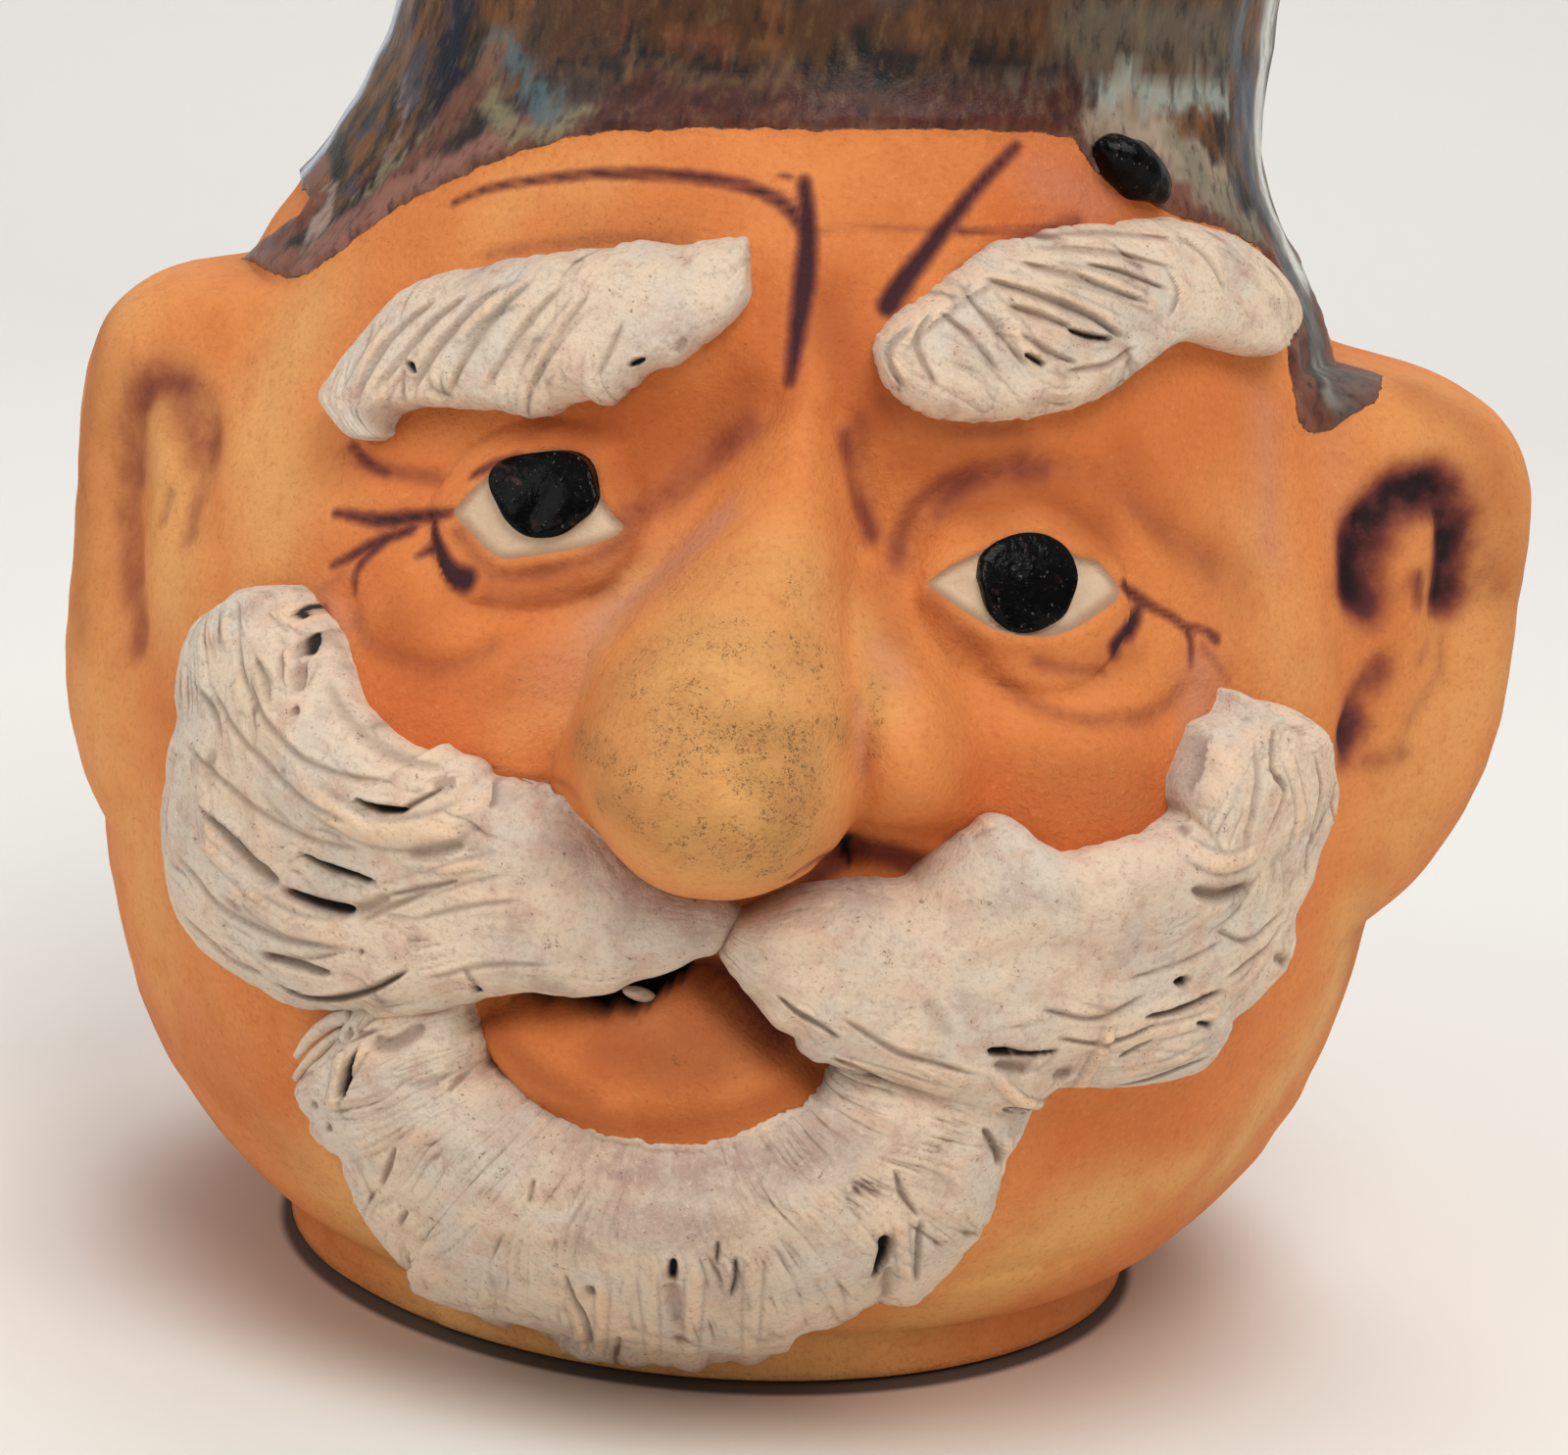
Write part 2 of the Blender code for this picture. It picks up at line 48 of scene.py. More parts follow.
def makeCamera(s):
    yaw, pitch, roll = (math.radians(s[key]) for key in ("yaw", "pitch", "roll"))
    ahead = Vector((math.sin(yaw) * math.cos(pitch), math.cos(yaw) * math.cos(pitch), math.sin(pitch)))
    level = Vector((math.cos(yaw), -math.sin(yaw), 0.0))
    upright = level.cross(ahead)
    right = level * math.cos(roll) + upright * math.sin(roll)
    up = upright * math.cos(roll) - level * math.sin(roll)
    data = bpy.data.cameras.new("camera")
    data.sensor_width = 36.0
    data.lens = s["focal"] / s["width"] * data.sensor_width
    data.clip_start, data.clip_end = 0.01, 20.0
    camera = bpy.data.objects.new("camera", data)
    camera.matrix_world = (Matrix.Translation(Vector(s["place"]) * mm)
                           @ Matrix((right, up, -ahead)).transposed().to_4x4())
    bpy.context.scene.collection.objects.link(camera)
    bpy.context.scene.camera = camera
    return np.array(right), np.array(up), np.array(ahead)


cameraRight, cameraUp, cameraAhead = makeCamera(shot)
print("camera set")

# The turned pot, in mm
pot = {"footRadius": 34.0, "footHeight": 4.0, "bellyRadius": 50.6, "headHeight": 90.0, "neckStart": 100.0,
       "neckRadius": 33.8, "neckLength": 14.0, "rimFlare": 1.2, "neckLean": 1.5, "wall": 5.0, "floor": 6.0,
       "widest": 42.03, "rim": 114.0}
levelHeight = pot["headHeight"] / 100.0  # mm to a percent of the head's height
# The face, places as (degrees round the pot, percent of the head's height) and reaches in mm
face = {
    "forehead": ((1.0, 91.0), (46.0, 17.0), 2.2), "chin": ((-3.5, 20.0), (22.0, 16.0), 3.0),
    "cheeks": (((-25.5, 55.5), (17.0, 12.0)), ((27.0, 53.5), (17.0, 12.0))), "cheekReach": 3.0,
    "eyes": (((-20.3, 72.6), (-8.0, 80.0), -1.0), ((22.0, 69.8), (9.5, 76.5), 1.0)), "eyeball": (9.8, 6.8),
    "socket": (15.0, 12.5), "bridgeHollow": (6.5, 9.0), "pouch": (11.0, 5.4), "pouchDrop": 8.4,
    "eyeReach": 2.6, "socketDepth": 1.8, "pouchReach": 1.3, "lip": ((-5.0, 33.0), (14.5, 7.2)),
    "lipReach": 4.0, "mouthDepth": 2.5, "mouthHalf": 1.7,
    "mouthLine": ((-18.0, 36.2), (-10.0, 38.2), (-3.0, 41.0), (3.0, 37.0), (8.0, 33.5)),
    "rightWing": ((10.2, 59.6), (7.8, 10.2)), "leftWing": ((-10.6, 56.0), (3.8, 6.4)), "wingUnder": 51.6,
    "neckDents": (((-88.0, 110.0), (46.0, 24.0), 2.2), ((88.0, 98.0), (40.0, 13.0), 1.6)),
    "wingReaches": (6.6, 4.6), "noseReach": 16.0, "bridgeReach": 2.0, "noseHalf": 10.4, "bridgeHalf": 2.4,
    "noseWidening": (82.0, 64.0), "noseRoot": 84.0, "noseTip": 58.0, "noseUnder": 11.5,
    "ears": ((-1.0, 3.3, 4.0), (1.0, 8.0, 2.0)), "earLevel": 62.0, "earHalf": 24.0, "earRise": 22.7,
    "earHollow": 2.4, "earHollowPlace": ((71.5, 64.0), (8.5, 15.0))}


def smoothStep(value):
    value = np.clip(value, 0.0, 1.0)
    return value * value * (3.0 - 2.0 * value)


def potRadius(height):
    height = np.asarray(height, float)
    below = np.clip((pot["widest"] - height) / (pot["widest"] - pot["footHeight"]), 0.0, 1.0)
    underside = pot["footRadius"] + (pot["bellyRadius"] - pot["footRadius"]) * (1.0 - below ** 2.5) ** 0.77
    above = np.clip((height - pot["widest"]) / (pot["neckStart"] - pot["widest"]), 0.0, 1.0)
    shoulder = pot["neckRadius"] + (pot["bellyRadius"] - pot["neckRadius"]) * (1.0 - smoothStep(above ** 1.3))
    flare = pot["rimFlare"] * smoothStep((height - pot["neckStart"]) / pot["neckLength"])
    return np.where(height < pot["widest"], underside, shoulder + flare)


def leanShift(height):
    return pot["neckLean"] * np.clip((height - pot["widest"]) / (pot["rim"] - pot["widest"]), 0.0, None)


def spread(points, count):
    # a smooth line through a few points, as evenly spaced points
    points = np.array(points, float)
    padded = np.vstack([2 * points[0] - points[1], points, 2 * points[-1] - points[-2]])
    fine = []
    for first in range(len(points) - 1):
        p0, p1, p2, p3 = padded[first:first + 4]
        for t in np.linspace(0.0, 1.0, 12, endpoint=False):
            fine.append(0.5 * (2 * p1 + (p2 - p0) * t + (2 * p0 - 5 * p1 + 4 * p2 - p3) * t * t
                               + (3 * p1 - p0 - 3 * p2 + p3) * t ** 3))
    fine = np.array(fine + [points[-1]])
    run = np.concatenate([[0.0], np.cumsum(np.linalg.norm(np.diff(fine, axis=0), axis=1))])
    wanted = np.linspace(0.0, run[-1], count)
    return np.column_stack([np.interp(wanted, run, fine[:, k]) for k in range(points.shape[1])])


def oval(angle, level, place, size, turn):
    across, up = angle - place[0], level - place[1]
    c, s = math.cos(math.radians(turn)), math.sin(math.radians(turn))
    return ((across * c + up * s) / size[0]) ** 2 + ((up * c - across * s) / size[1]) ** 2


def mound(angle, level, place, size, turn=0.0):
    return np.clip(1.0 - oval(angle, level, place, size, turn), 0.0, 1.0) ** 2


def ball(angle, level, place, size, turn=0.0):
    return np.sqrt(np.clip(1.0 - oval(angle, level, place, size, turn), 0.0, 1.0))


def nearLine(places, line, reach=1e6):
    # distance from each place to a line of points, the share of the way along it, and the side
    gap, share, side = np.full(len(places), 1e3), np.zeros(len(places)), np.zeros(len(places))
    close = np.flatnonzero(((places > line.min(0) - reach) & (places < line.max(0) + reach)).all(1))
    own, nearest = places[close], np.full(len(close), 1e9)
    for number, (start, end) in enumerate(zip(line[:-1], line[1:])):
        step = end - start
        way = np.clip((own - start) @ step / max(step @ step, 1e-12), 0.0, 1.0)
        away = own - start - way[:, None] * step
        square = (away ** 2).sum(1)
        better = square < nearest
        nearest[better] = square[better]
        share[close[better]] = (number + way[better]) / (len(line) - 1)
        side[close[better]] = np.sign(step[0] * away[better, 1] - step[1] * away[better, 0])
    gap[close] = np.sqrt(nearest)
    return gap, share, side


def gapToLine(places, line, reach=1e6):
    return nearLine(places, line, reach)[0]


def furrow(angle, level, points, halfWidth):
    places = np.column_stack([np.ravel(angle), np.ravel(level)])
    return np.exp(-(gapToLine(places, spread(points, 14)) / halfWidth) ** 2).reshape(np.shape(angle))


def blend(first, second, width):
    # the higher of two forms, with a soft corner between them
    return np.maximum(first, second) + np.clip(width - np.abs(first - second), 0.0, None) ** 2 / (4.0 * width)


def dome(angle, level, place, size, turn):
    # a ball that goes on below its footprint
    inside = 1.0 - oval(angle, level, place, size, turn)
    return np.where(inside > 0.0, np.sqrt(np.abs(inside)), -1.2 * np.sqrt(np.abs(inside)))


def noseForm(angle, level):
    # falls below the face outside its footprint
    down = np.clip((face["noseRoot"] - level) / (face["noseRoot"] - face["noseTip"]), 0.0, 1.0)
    under = np.clip((face["noseTip"] - level) / face["noseUnder"], 0.0, 1.0)
    rounding = (1.0 - under ** 1.7) ** 0.6
    middle = 1.8 - 4.0 * smoothStep(down)
    high, low = face["noseWidening"]
    wide = np.clip((high - level) / (high - low), 0.0, 1.0)
    half = (face["bridgeHalf"] + (face["noseHalf"] - face["bridgeHalf"]) * wide) * (0.15 + 0.85 * rounding)
    half = half * np.where(angle > middle, 1.0 + 0.4 * under * (1.0 - under ** 4), 1.0)
    across = (angle - middle) / half
    across = np.where(across > 0.0, across, -across * (1.0 - 0.08 * smoothStep(down)))
    root = smoothStep((face["noseRoot"] + 8.0 - level) / 10.0)
    reach = (face["bridgeReach"] + (face["noseReach"] - face["bridgeReach"]) * down ** 1.1) * root
    wedge = reach * rounding * (1.0 - np.clip(across, 0.0, 2.5) ** (1.8 + 0.9 * down ** 2))
    wedge = wedge - 3.0 * np.clip(across - 1.0, 0.0, 3.0)
    wedge = wedge - 4.0 * smoothStep((level - face["noseRoot"]) / 10.0)
    wedge = wedge - 6.0 * smoothStep((face["noseTip"] - face["noseUnder"] + 1.5 - level) / 4.0)
    left = face["wingReaches"][1] * dome(angle, level, *face["leftWing"], -18.0)
    return blend(wedge, left, 3.4)


def broadForm(angle, level):
    shape = face["forehead"][2] * mound(angle, level, *face["forehead"][:2])
    shape = shape + face["chin"][2] * mound(angle, level, *face["chin"][:2])
    for cheek in face["cheeks"]:
        shape = shape + face["cheekReach"] * mound(angle, level, *cheek)
    return shape


def earForm(angle, level, side, reach, lobe):
    up, down = (level - face["earLevel"]) / face["earRise"], (face["earLevel"] - level) / face["earHalf"]
    above = (1.0 - np.clip(up, 0.0, 1.0) ** 4.4) ** 0.5
    below = (1.0 - np.clip(down, 0.0, 1.0) ** lobe) ** 0.7
    crest = (pot["bellyRadius"] + reach - potRadius(level * levelHeight)) * np.where(up > 0.0, above, below)
    turn = side * angle
    flap = crest * smoothStep((turn - 58.0) / 20.0) * smoothStep((98.0 - turn) / 10.0)
    return flap - face["earHollow"] * mound(turn, level, *face["earHollowPlace"])


def headForm(angle, level):
    # how far the face stands out from the turned pot, in mm
    lip = face["lipReach"] * ball(angle, level, *face["lip"], -6.0)
    shape = broadForm(angle, level) + lip
    mouth = furrow(angle, level, face["mouthLine"], face["mouthHalf"])
    shape = shape - (face["mouthDepth"] + 0.4 * lip) * mouth
    for middle, hollow, side in face["eyes"]:
        shape = shape + face["eyeReach"] * ball(angle, level, middle, face["eyeball"], -4.0 * side)
        shape = shape - face["socketDepth"] * mound(angle, level, middle, face["socket"])
        shape = shape - 0.6 * face["socketDepth"] * mound(angle, level, hollow, face["bridgeHollow"])
        under = (middle[0] + 1.5 * side, middle[1] - face["pouchDrop"])
        shape = shape + face["pouchReach"] * mound(angle, level, under, face["pouch"], 8.0 * side)
    for side, reach, lobe in face["ears"]:
        shape = shape + earForm(angle, level, side, reach, lobe)
    wing = np.clip(1.0 - oval(angle, level, *face["rightWing"], 28.0), 0.0, 1.0) ** 1.6
    shape = shape + face["wingReaches"][0] * wing * smoothStep((level - face["wingUnder"]) / 2.4)
    for place, size, depth in face["neckDents"]:
        shape = shape - depth * mound(angle, level, place, size)
    nose = noseForm(angle, level)
    return blend(shape, nose + 0.3 * np.clip(shape, 0.0, None) * smoothStep((nose + 1.5) / 2.0), 2.6)


def onHead(angle, level, out):
    # points in mm that stand out from the turned pot by out
    height = np.asarray(level, float) * levelHeight
    radius = potRadius(height) + out
    turn = np.radians(angle)
    return np.stack([radius * np.sin(turn) + leanShift(height), -radius * np.cos(turn), height], axis=-1)


def seen(pixels, standOff=None):
    # where on the face, as angle and level, each pixel of the picture lies
    pixels = np.atleast_2d(np.array(pixels, float))
    rays = (cameraAhead + ((pixels[:, :1] - shot["width"] / 2) / shot["focal"]) * cameraRight
            + ((shot["height"] / 2 - pixels[:, 1:2]) / shot["focal"]) * cameraUp)
    rays = rays / np.linalg.norm(rays, axis=1, keepdims=True)
    run = np.arange(222.0, 330.0, 0.4)
    places = np.array(shot["place"]) + run[None, :, None] * rays[:, None, :]
    x = places[..., 0] - leanShift(places[..., 2])
    angle = np.degrees(np.arctan2(x, -places[..., 1]))
    level = places[..., 2] / levelHeight
    out = headForm(angle, level) if standOff is None else broadForm(angle, level) + standOff
    gap = np.hypot(x, places[..., 1]) - potRadius(places[..., 2]) - out
    gap = np.where((places[..., 2] < -2.0) | (places[..., 2] > 113.0), 99.0, gap)
    hit = gap < 0.0
    first = np.where(hit.any(1), hit.argmax(1), gap.argmin(1))
    row = np.arange(len(pixels))
    before = np.maximum(first - 1, 0)
    ease = np.clip(gap[row, before] / np.maximum(gap[row, before] - gap[row, first], 1e-6), 0.0, 1.0)
    ease = np.where(hit.any(1), ease, 1.0)
    return np.column_stack([angle[row, before] + (angle[row, first] - angle[row, before]) * ease,
                            level[row, before] + (level[row, first] - level[row, before]) * ease])


def drawn(pixels, count=24):
    # a smooth stroke through pixels of the picture, as points in mm on the face
    place = seen(spread(pixels, count))
    return onHead(place[:, 0], place[:, 1], headForm(place[:, 0], place[:, 1]))


def within(places, outline):
    # which flat places lie inside a closed outline
    inside = np.zeros(len(places), bool)
    for (x0, y0), (x1, y1) in zip(outline, np.roll(outline, -1, axis=0)):
        crosses = (places[:, 1] < y0) != (places[:, 1] < y1)
        inside ^= crosses & (places[:, 0] < x0 + (x1 - x0) * (places[:, 1] - y0) / (y1 - y0 + 1e-12))
    return inside


def wander(places, size, seed):
    # smooth unevenness from about -1 to 1, with lumps of that size
    dice = np.random.default_rng(seed)
    total = np.zeros(len(places))
    for wave in range(11):
        way = dice.normal(size=places.shape[1])
        way = way / np.linalg.norm(way) * 2.0 * math.pi / (size * dice.uniform(0.7, 1.6))
        total += np.sin(places @ way + dice.uniform(0.0, 6.3))
    return total / 3.2


def patchwork(x, y, seed):
    # smooth random values from -1 to 1, one patch to each unit
    table = np.random.default_rng(seed).uniform(-1.0, 1.0, (61, 59))
    left, low = np.floor(x).astype(int), np.floor(y).astype(int)
    across, up = smoothStep(x - left), smoothStep(y - low)
    near = table[left % 61, low % 59] * (1.0 - across) + table[(left + 1) % 61, low % 59] * across
    far = table[left % 61, (low + 1) % 59] * (1.0 - across) + table[(left + 1) % 61, (low + 1) % 59] * across
    return near * (1.0 - up) + far * up


def addPiece(name, mesh, material, nodes=()):
    piece = bpy.data.objects.new(name, mesh)
    bpy.context.scene.collection.objects.link(piece)
    mesh.materials.clear()
    mesh.materials.append(material)
    mesh.shade_smooth()
    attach(piece, "root")
    if nodes:
        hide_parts(*nodes)
    return piece


def meshOf(name, shape):
    mesh = bpy.data.meshes.new(name)
    shape.to_mesh(mesh)
    shape.free()
    return mesh


def makeTube(shape, sides, stations):
    # rings of corners, each joined to the one before
    ring = bmesh.ops.create_circle(shape, cap_ends=False, radius=1.0, segments=sides)["verts"]
    edges = list({e for v in ring for e in v.link_edges})
    rings = [list(ring)]
    for station in range(1, stations):
        made = bmesh.ops.extrude_edge_only(shape, edges=edges)["geom"]
        edges = [g for g in made if isinstance(g, bmesh.types.BMEdge) and len(g.link_faces) == 1
                 and all(v in made for v in g.verts)]
        rings.append([g for g in made if isinstance(g, bmesh.types.BMVert)])
    return rings


def closeTube(shape, rings):
    for corners in (rings[0], rings[-1]):
        rim = {e for v in corners for e in v.link_edges if len(e.link_faces) == 1}
        bmesh.ops.contextual_create(shape, geom=list(rim))


def readPlaces(mesh):
    places = np.empty(len(mesh.vertices) * 3)
    mesh.vertices.foreach_get("co", places)
    return places.reshape(-1, 3)


def storeAmount(mesh, name, values):
    layer = mesh.attributes.get(name) or mesh.attributes.new(name, "FLOAT", "POINT")
    layer.data.foreach_set("value", np.asarray(values, np.float32))


# Node helpers
def srgb(*color):
    channels = [c / 255.0 for c in color]
    return tuple(c / 12.92 if c < 0.04045 else ((c + 0.055) / 1.055) ** 2.4 for c in channels) + (1.0,)


class Desk:
    # a material and short ways to add nodes to it
    def __init__(self, name):
        self.material = bpy.data.materials.new(name)
        self.material.use_nodes = True
        self.tree = self.material.node_tree
        self.shader = self.tree.nodes["Principled BSDF"]
        self.object = self.add("TexCoord").outputs["Object"]

    def add(self, kind, inputs=None, **settings):
        made = self.tree.nodes.new("ShaderNode" + kind)
        for key, value in settings.items():
            setattr(made, key, value)
        for key, value in (inputs or {}).items():
            self.put(made.inputs[key], value)
        return made

    def put(self, socket, value):
        if isinstance(value, bpy.types.NodeSocket):
            self.tree.links.new(value, socket)
        else:
            socket.default_value = value

    def amount(self, name):
        return self.add("Attribute", attribute_name=name).outputs["Fac"]

    def sum(self, kind, *values):
        made = self.add("Math", operation=kind)
        for socket, value in zip(made.inputs, values):
            self.put(socket, value)
        return made.outputs[0]

    def step(self, value, low, high, to=(0.0, 1.0)):
        made = self.add("MapRange", {"Value": value, "From Min": low, "From Max": high,
                                     "To Min": to[0], "To Max": to[1]}, interpolation_type="SMOOTHSTEP")
        return made.outputs["Result"]

    def mix(self, share, first, second, kind="MIX"):
        made = self.add("Mix", data_type="RGBA", blend_type=kind)
        for index, value in ((0, share), (6, first), (7, second)):
            self.put(made.inputs[index], value)
        return made.outputs[2]

    def noise(self, size, detail=4.0, roughness=0.55, stretch=None):
        place = self.object
        if stretch:
            place = self.add("Mapping", {"Vector": place, "Scale": stretch}).outputs["Vector"]
        return self.add("TexNoise", {"Vector": place, "Scale": 1.0 / (size * mm), "Detail": detail,
                                     "Roughness": roughness}).outputs["Fac"]

    def pulled(self, size, far):
        # object coordinates pulled about by up to far mm
        cloud = self.add("TexNoise", {"Vector": self.object, "Scale": 1.0 / (size * mm),
                                      "Detail": 2.0}).outputs["Color"]
        shift = self.add("VectorMath", {0: cloud, 1: (0.5, 0.5, 0.5)}, operation="SUBTRACT").outputs[0]
        scaled = self.add("VectorMath", {0: shift, "Scale": 2.0 * far * mm}, operation="SCALE").outputs[0]
        return self.add("VectorMath", {0: self.object, 1: scaled}, operation="ADD").outputs[0]

    def bump(self, height, distance, normal=None):
        inputs = {"Height": height, "Strength": 1.0, "Distance": distance * mm}
        if normal:
            inputs["Normal"] = normal
        return self.add("Bump", inputs).outputs["Normal"]


# What is painted or pressed into the face, in pixels of the picture
hairline = [
    (252, 264), (262, 270), (283, 278), (304, 284), (333, 269), (374, 236), (416, 207), (457, 187),
    (499, 168), (540, 153), (582, 141), (623, 135), (665, 132), (747, 131), (830, 133), (900, 132),
    (1027, 134), (1091, 140), (1099, 150), (1117, 172), (1142, 188), (1174, 204), (1197, 220), (1238, 230),
    (1283, 252), (1295, 271), (1311, 306), (1315, 367), (1322, 420), (1336, 440), (1358, 438), (1376, 424),
    (1402, 408), (1410, 382)]
# Eyes: a pupil's outline goes from its left end over the top to number "turn", the right end, then back
eyes = {
    "left": {
        "lids": [(459, 525), (477, 503), (495, 487), (530, 466), (565, 459), (598, 471), (613, 508),
            (625, 525), (637, 541), (612, 554), (586, 561), (550, 567), (514, 571), (496, 562), (481, 547)],
        "pupil": [(502, 495), (503, 480), (512, 470), (530, 464), (570, 460), (590, 465), (603, 480),
            (611, 505), (604, 522), (590, 534), (575, 545), (555, 549), (535, 546), (518, 532), (507, 512)],
        "turn": 7},
    "right": {
        "lids": [(944, 596), (970, 577), (1004, 560), (1020, 550), (1046, 542), (1072, 547), (1097, 566),
            (1124, 575), (1144, 606), (1120, 627), (1095, 642), (1065, 650), (1021, 645), (983, 624),
            (960, 608)],
        "pupil": [(997, 590), (1001, 568), (1015, 553), (1040, 544), (1065, 545), (1086, 557), (1096, 575),
            (1096, 594), (1087, 625), (1067, 640), (1046, 646), (1025, 641), (1007, 622)],
        "turn": 7}}

# Brush strokes: pixels, then half the width in mm at the start, middle and end
strokes = [
    ([(462, 208), (500, 192), (560, 182), (620, 177), (700, 180), (760, 190), (800, 208), (820, 235)],
     (0.25, 0.45, 0.5)),
    ([(795, 178), (812, 184)], (0.1, 0.2, 0.1)),
    ([(821, 186), (824, 235), (822, 280), (815, 330), (806, 390)], (0.55, 0.85, 0.45)),
    ([(1040, 150), (1000, 190), (960, 240), (925, 285), (907, 313)], (0.4, 0.6, 0.85)),
    ([(980, 236), (1040, 235), (1100, 232)], (0.25, 0.18, 0.1)),
    ([(459, 524), (425, 528), (385, 531), (341, 524)], (0.35, 0.62, 0.3)),
    ([(438, 530), (444, 555), (458, 584), (474, 592)], (0.45, 0.75, 0.95)),
    ([(443, 560), (427, 567)], (0.4, 0.3, 0.2)),
    ([(418, 541), (387, 552), (356, 568), (338, 577)], (0.4, 0.45, 0.25)),
    ([(392, 552), (367, 577), (359, 605)], (0.35, 0.35, 0.18)),
    ([(354, 455), (372, 472), (392, 484)], (0.2, 0.3, 0.2)),
    ([(479, 486), (505, 474), (529, 466)], (0.25, 0.35, 0.3)),
    ([(1148, 597), (1156, 605), (1172, 617), (1196, 630), (1211, 641)], (0.45, 0.32, 0.28)),
    ([(1150, 600), (1154, 606)], (0.5, 0.5, 0.5)),
    ([(1166, 618), (1152, 640), (1139, 660)], (0.3, 0.75, 1.0)),
    ([(1213, 641), (1215, 660), (1216, 682)], (0.32, 0.26, 0.1)),
    ([(1211, 641), (1228, 643), (1242, 652)], (0.28, 0.22, 0.42))]
# Soft brown stains, with painted shade in the creases round the eyes and nose and under the nose's wing:
# pixels, radius in mm, amount
stainsAndCreaseShade = [
    ([(137, 478), (131, 430), (140, 400), (165, 390), (190, 400), (204, 430), (212, 464)], 2.5, 0.44),
    ([(133, 420), (145, 400), (165, 390), (182, 396)], 1.7, 0.52),
    ([(130, 480), (128, 531), (132, 600), (135, 640)], 2.0, 0.34), ([(136, 640), (135, 655)], 1.8, 0.42),
    ([(205, 480), (203, 510), (196, 545)], 1.5, 0.3), ([(174, 505), (166, 530)], 0.8, 0.35),
    ([(1392, 606), (1388, 575), (1400, 533), (1428, 506), (1461, 494), (1481, 511), (1489, 544),
      (1484, 578), (1482, 604)],
     2.1, 1.0),
    ([(1396, 612), (1393, 575), (1404, 540)], 2.3, 0.85),
    ([(1402, 530), (1430, 508), (1458, 498)], 1.9, 1.3),
    ([(1484, 520), (1489, 556), (1482, 590)], 1.6, 1.2), ([(1394, 600), (1398, 624)], 1.3, 0.75),
    ([(1440, 590), (1444, 612)], 1.0, 0.55), ([(1374, 756), (1384, 736)], 2.0, 0.8),
    ([(1384, 730), (1400, 705), (1416, 686)], 1.6, 0.5),
    ([(1366, 772), (1400, 776), (1435, 768)], 1.2, 0.3),
    ([(1470, 640), (1468, 690), (1440, 740)], 1.0, 0.22), ([(1512, 560), (1520, 600)], 1.8, 0.25),
    ([(1456, 655), (1450, 672)], 0.8, 0.3),
    ([(600, 545), (640, 528), (690, 500), (725, 468), (762, 440)], 1.5, 0.42),
    ([(690, 498), (712, 480), (735, 458)], 1.0, 0.4), ([(862, 450), (874, 500), (890, 545)], 1.1, 0.5),
    ([(468, 543), (490, 572), (514, 589), (560, 583), (604, 568), (639, 545)], 0.8, 0.35),
    ([(500, 612), (560, 612), (621, 600)], 0.9, 0.25),
    ([(357, 629), (371, 657), (418, 679), (461, 682), (500, 660)], 0.8, 0.24),
    ([(354, 454), (379, 477), (443, 489)], 0.8, 0.4), ([(879, 430), (880, 480), (890, 540)], 1.0, 0.3),
    ([(919, 580), (935, 545), (960, 515), (1000, 490)], 1.1, 0.3),
    ([(960, 520), (992, 494), (1045, 474)], 1.1, 0.5),
    ([(918, 569), (928, 540), (943, 513), (993, 488), (1067, 480)], 1.1, 0.45),
    ([(960, 505), (1000, 488)], 1.0, 0.35),
    ([(1051, 477), (1109, 482), (1153, 509), (1197, 553), (1241, 582)], 1.4, 0.22),
    ([(812, 893), (835, 878), (855, 868)], 0.7, 0.7), ([(878, 868), (905, 872), (935, 884)], 0.9, 0.6),
    ([(950, 612), (975, 640), (1005, 668)], 1.0, 0.2),
    ([(1012, 685), (1051, 717), (1095, 733), (1139, 736), (1183, 730), (1209, 711)], 0.9, 0.28),
    ([(826, 902), (850, 884), (880, 872), (915, 876), (938, 880)], 0.9, 0.5),
    ([(1059, 676), (1090, 684), (1124, 685)], 0.6, 0.35),
    ([(1227, 659), (1242, 678), (1256, 694)], 0.5, 0.3), ([(830, 236), (890, 232), (960, 236)], 0.4, 0.25),
    ([(476, 774), (520, 790), (567, 798), (591, 815)], 0.5, 0.3),
    ([(330, 623), (346, 659), (362, 708)], 0.5, 0.6), ([(320, 606), (330, 600), (350, 585)], 0.6, 0.2),
    ([(968, 858), (1004, 834)], 0.6, 0.35), ([(385, 432), (440, 425), (500, 430)], 0.9, 0.2),
    ([(900, 410), (960, 436), (1040, 438)], 0.8, 0.25), ([(500, 258), (600, 246), (700, 243)], 0.8, 0.3),
    ([(980, 280), (1030, 252), (1100, 226)], 0.8, 0.45)]
# Orange-red bloom on cheeks, brows and jowls, with painted shade in the hollows under the brows
blushesAndHollowShade = [
    ([(400, 715), (450, 750)], 6.0, 0.9), ([(430, 640), (520, 650)], 5.0, 0.35),
    ([(500, 720), (540, 770)], 4.0, 0.4), ([(1010, 815), (1090, 850), (1180, 830)], 4.5, 1.0),
    ([(960, 840), (990, 850)], 3.0, 0.8), ([(1060, 790), (1190, 790)], 4.5, 0.5),
    ([(560, 232), (700, 222)], 3.5, 0.5), ([(1060, 175), (1110, 190), (1150, 208), (1030, 222)], 3.2, 0.85),
    ([(780, 330), (790, 380)], 4.0, 0.6), ([(560, 440), (640, 430)], 4.0, 0.55),
    ([(400, 455), (430, 500)], 4.0, 0.5), ([(860, 300), (870, 400)], 3.5, 0.5),
    ([(1100, 450), (1240, 400)], 5.0, 0.5), ([(200, 1050), (280, 1110)], 4.5, 0.7),
    ([(1100, 1160), (1200, 1150)], 4.0, 0.7), ([(1060, 820), (1180, 815)], 3.5, 1.0),
    ([(330, 570), (360, 600)], 4.0, 0.6), ([(560, 1060), (700, 1110)], 4.5, 0.5)]
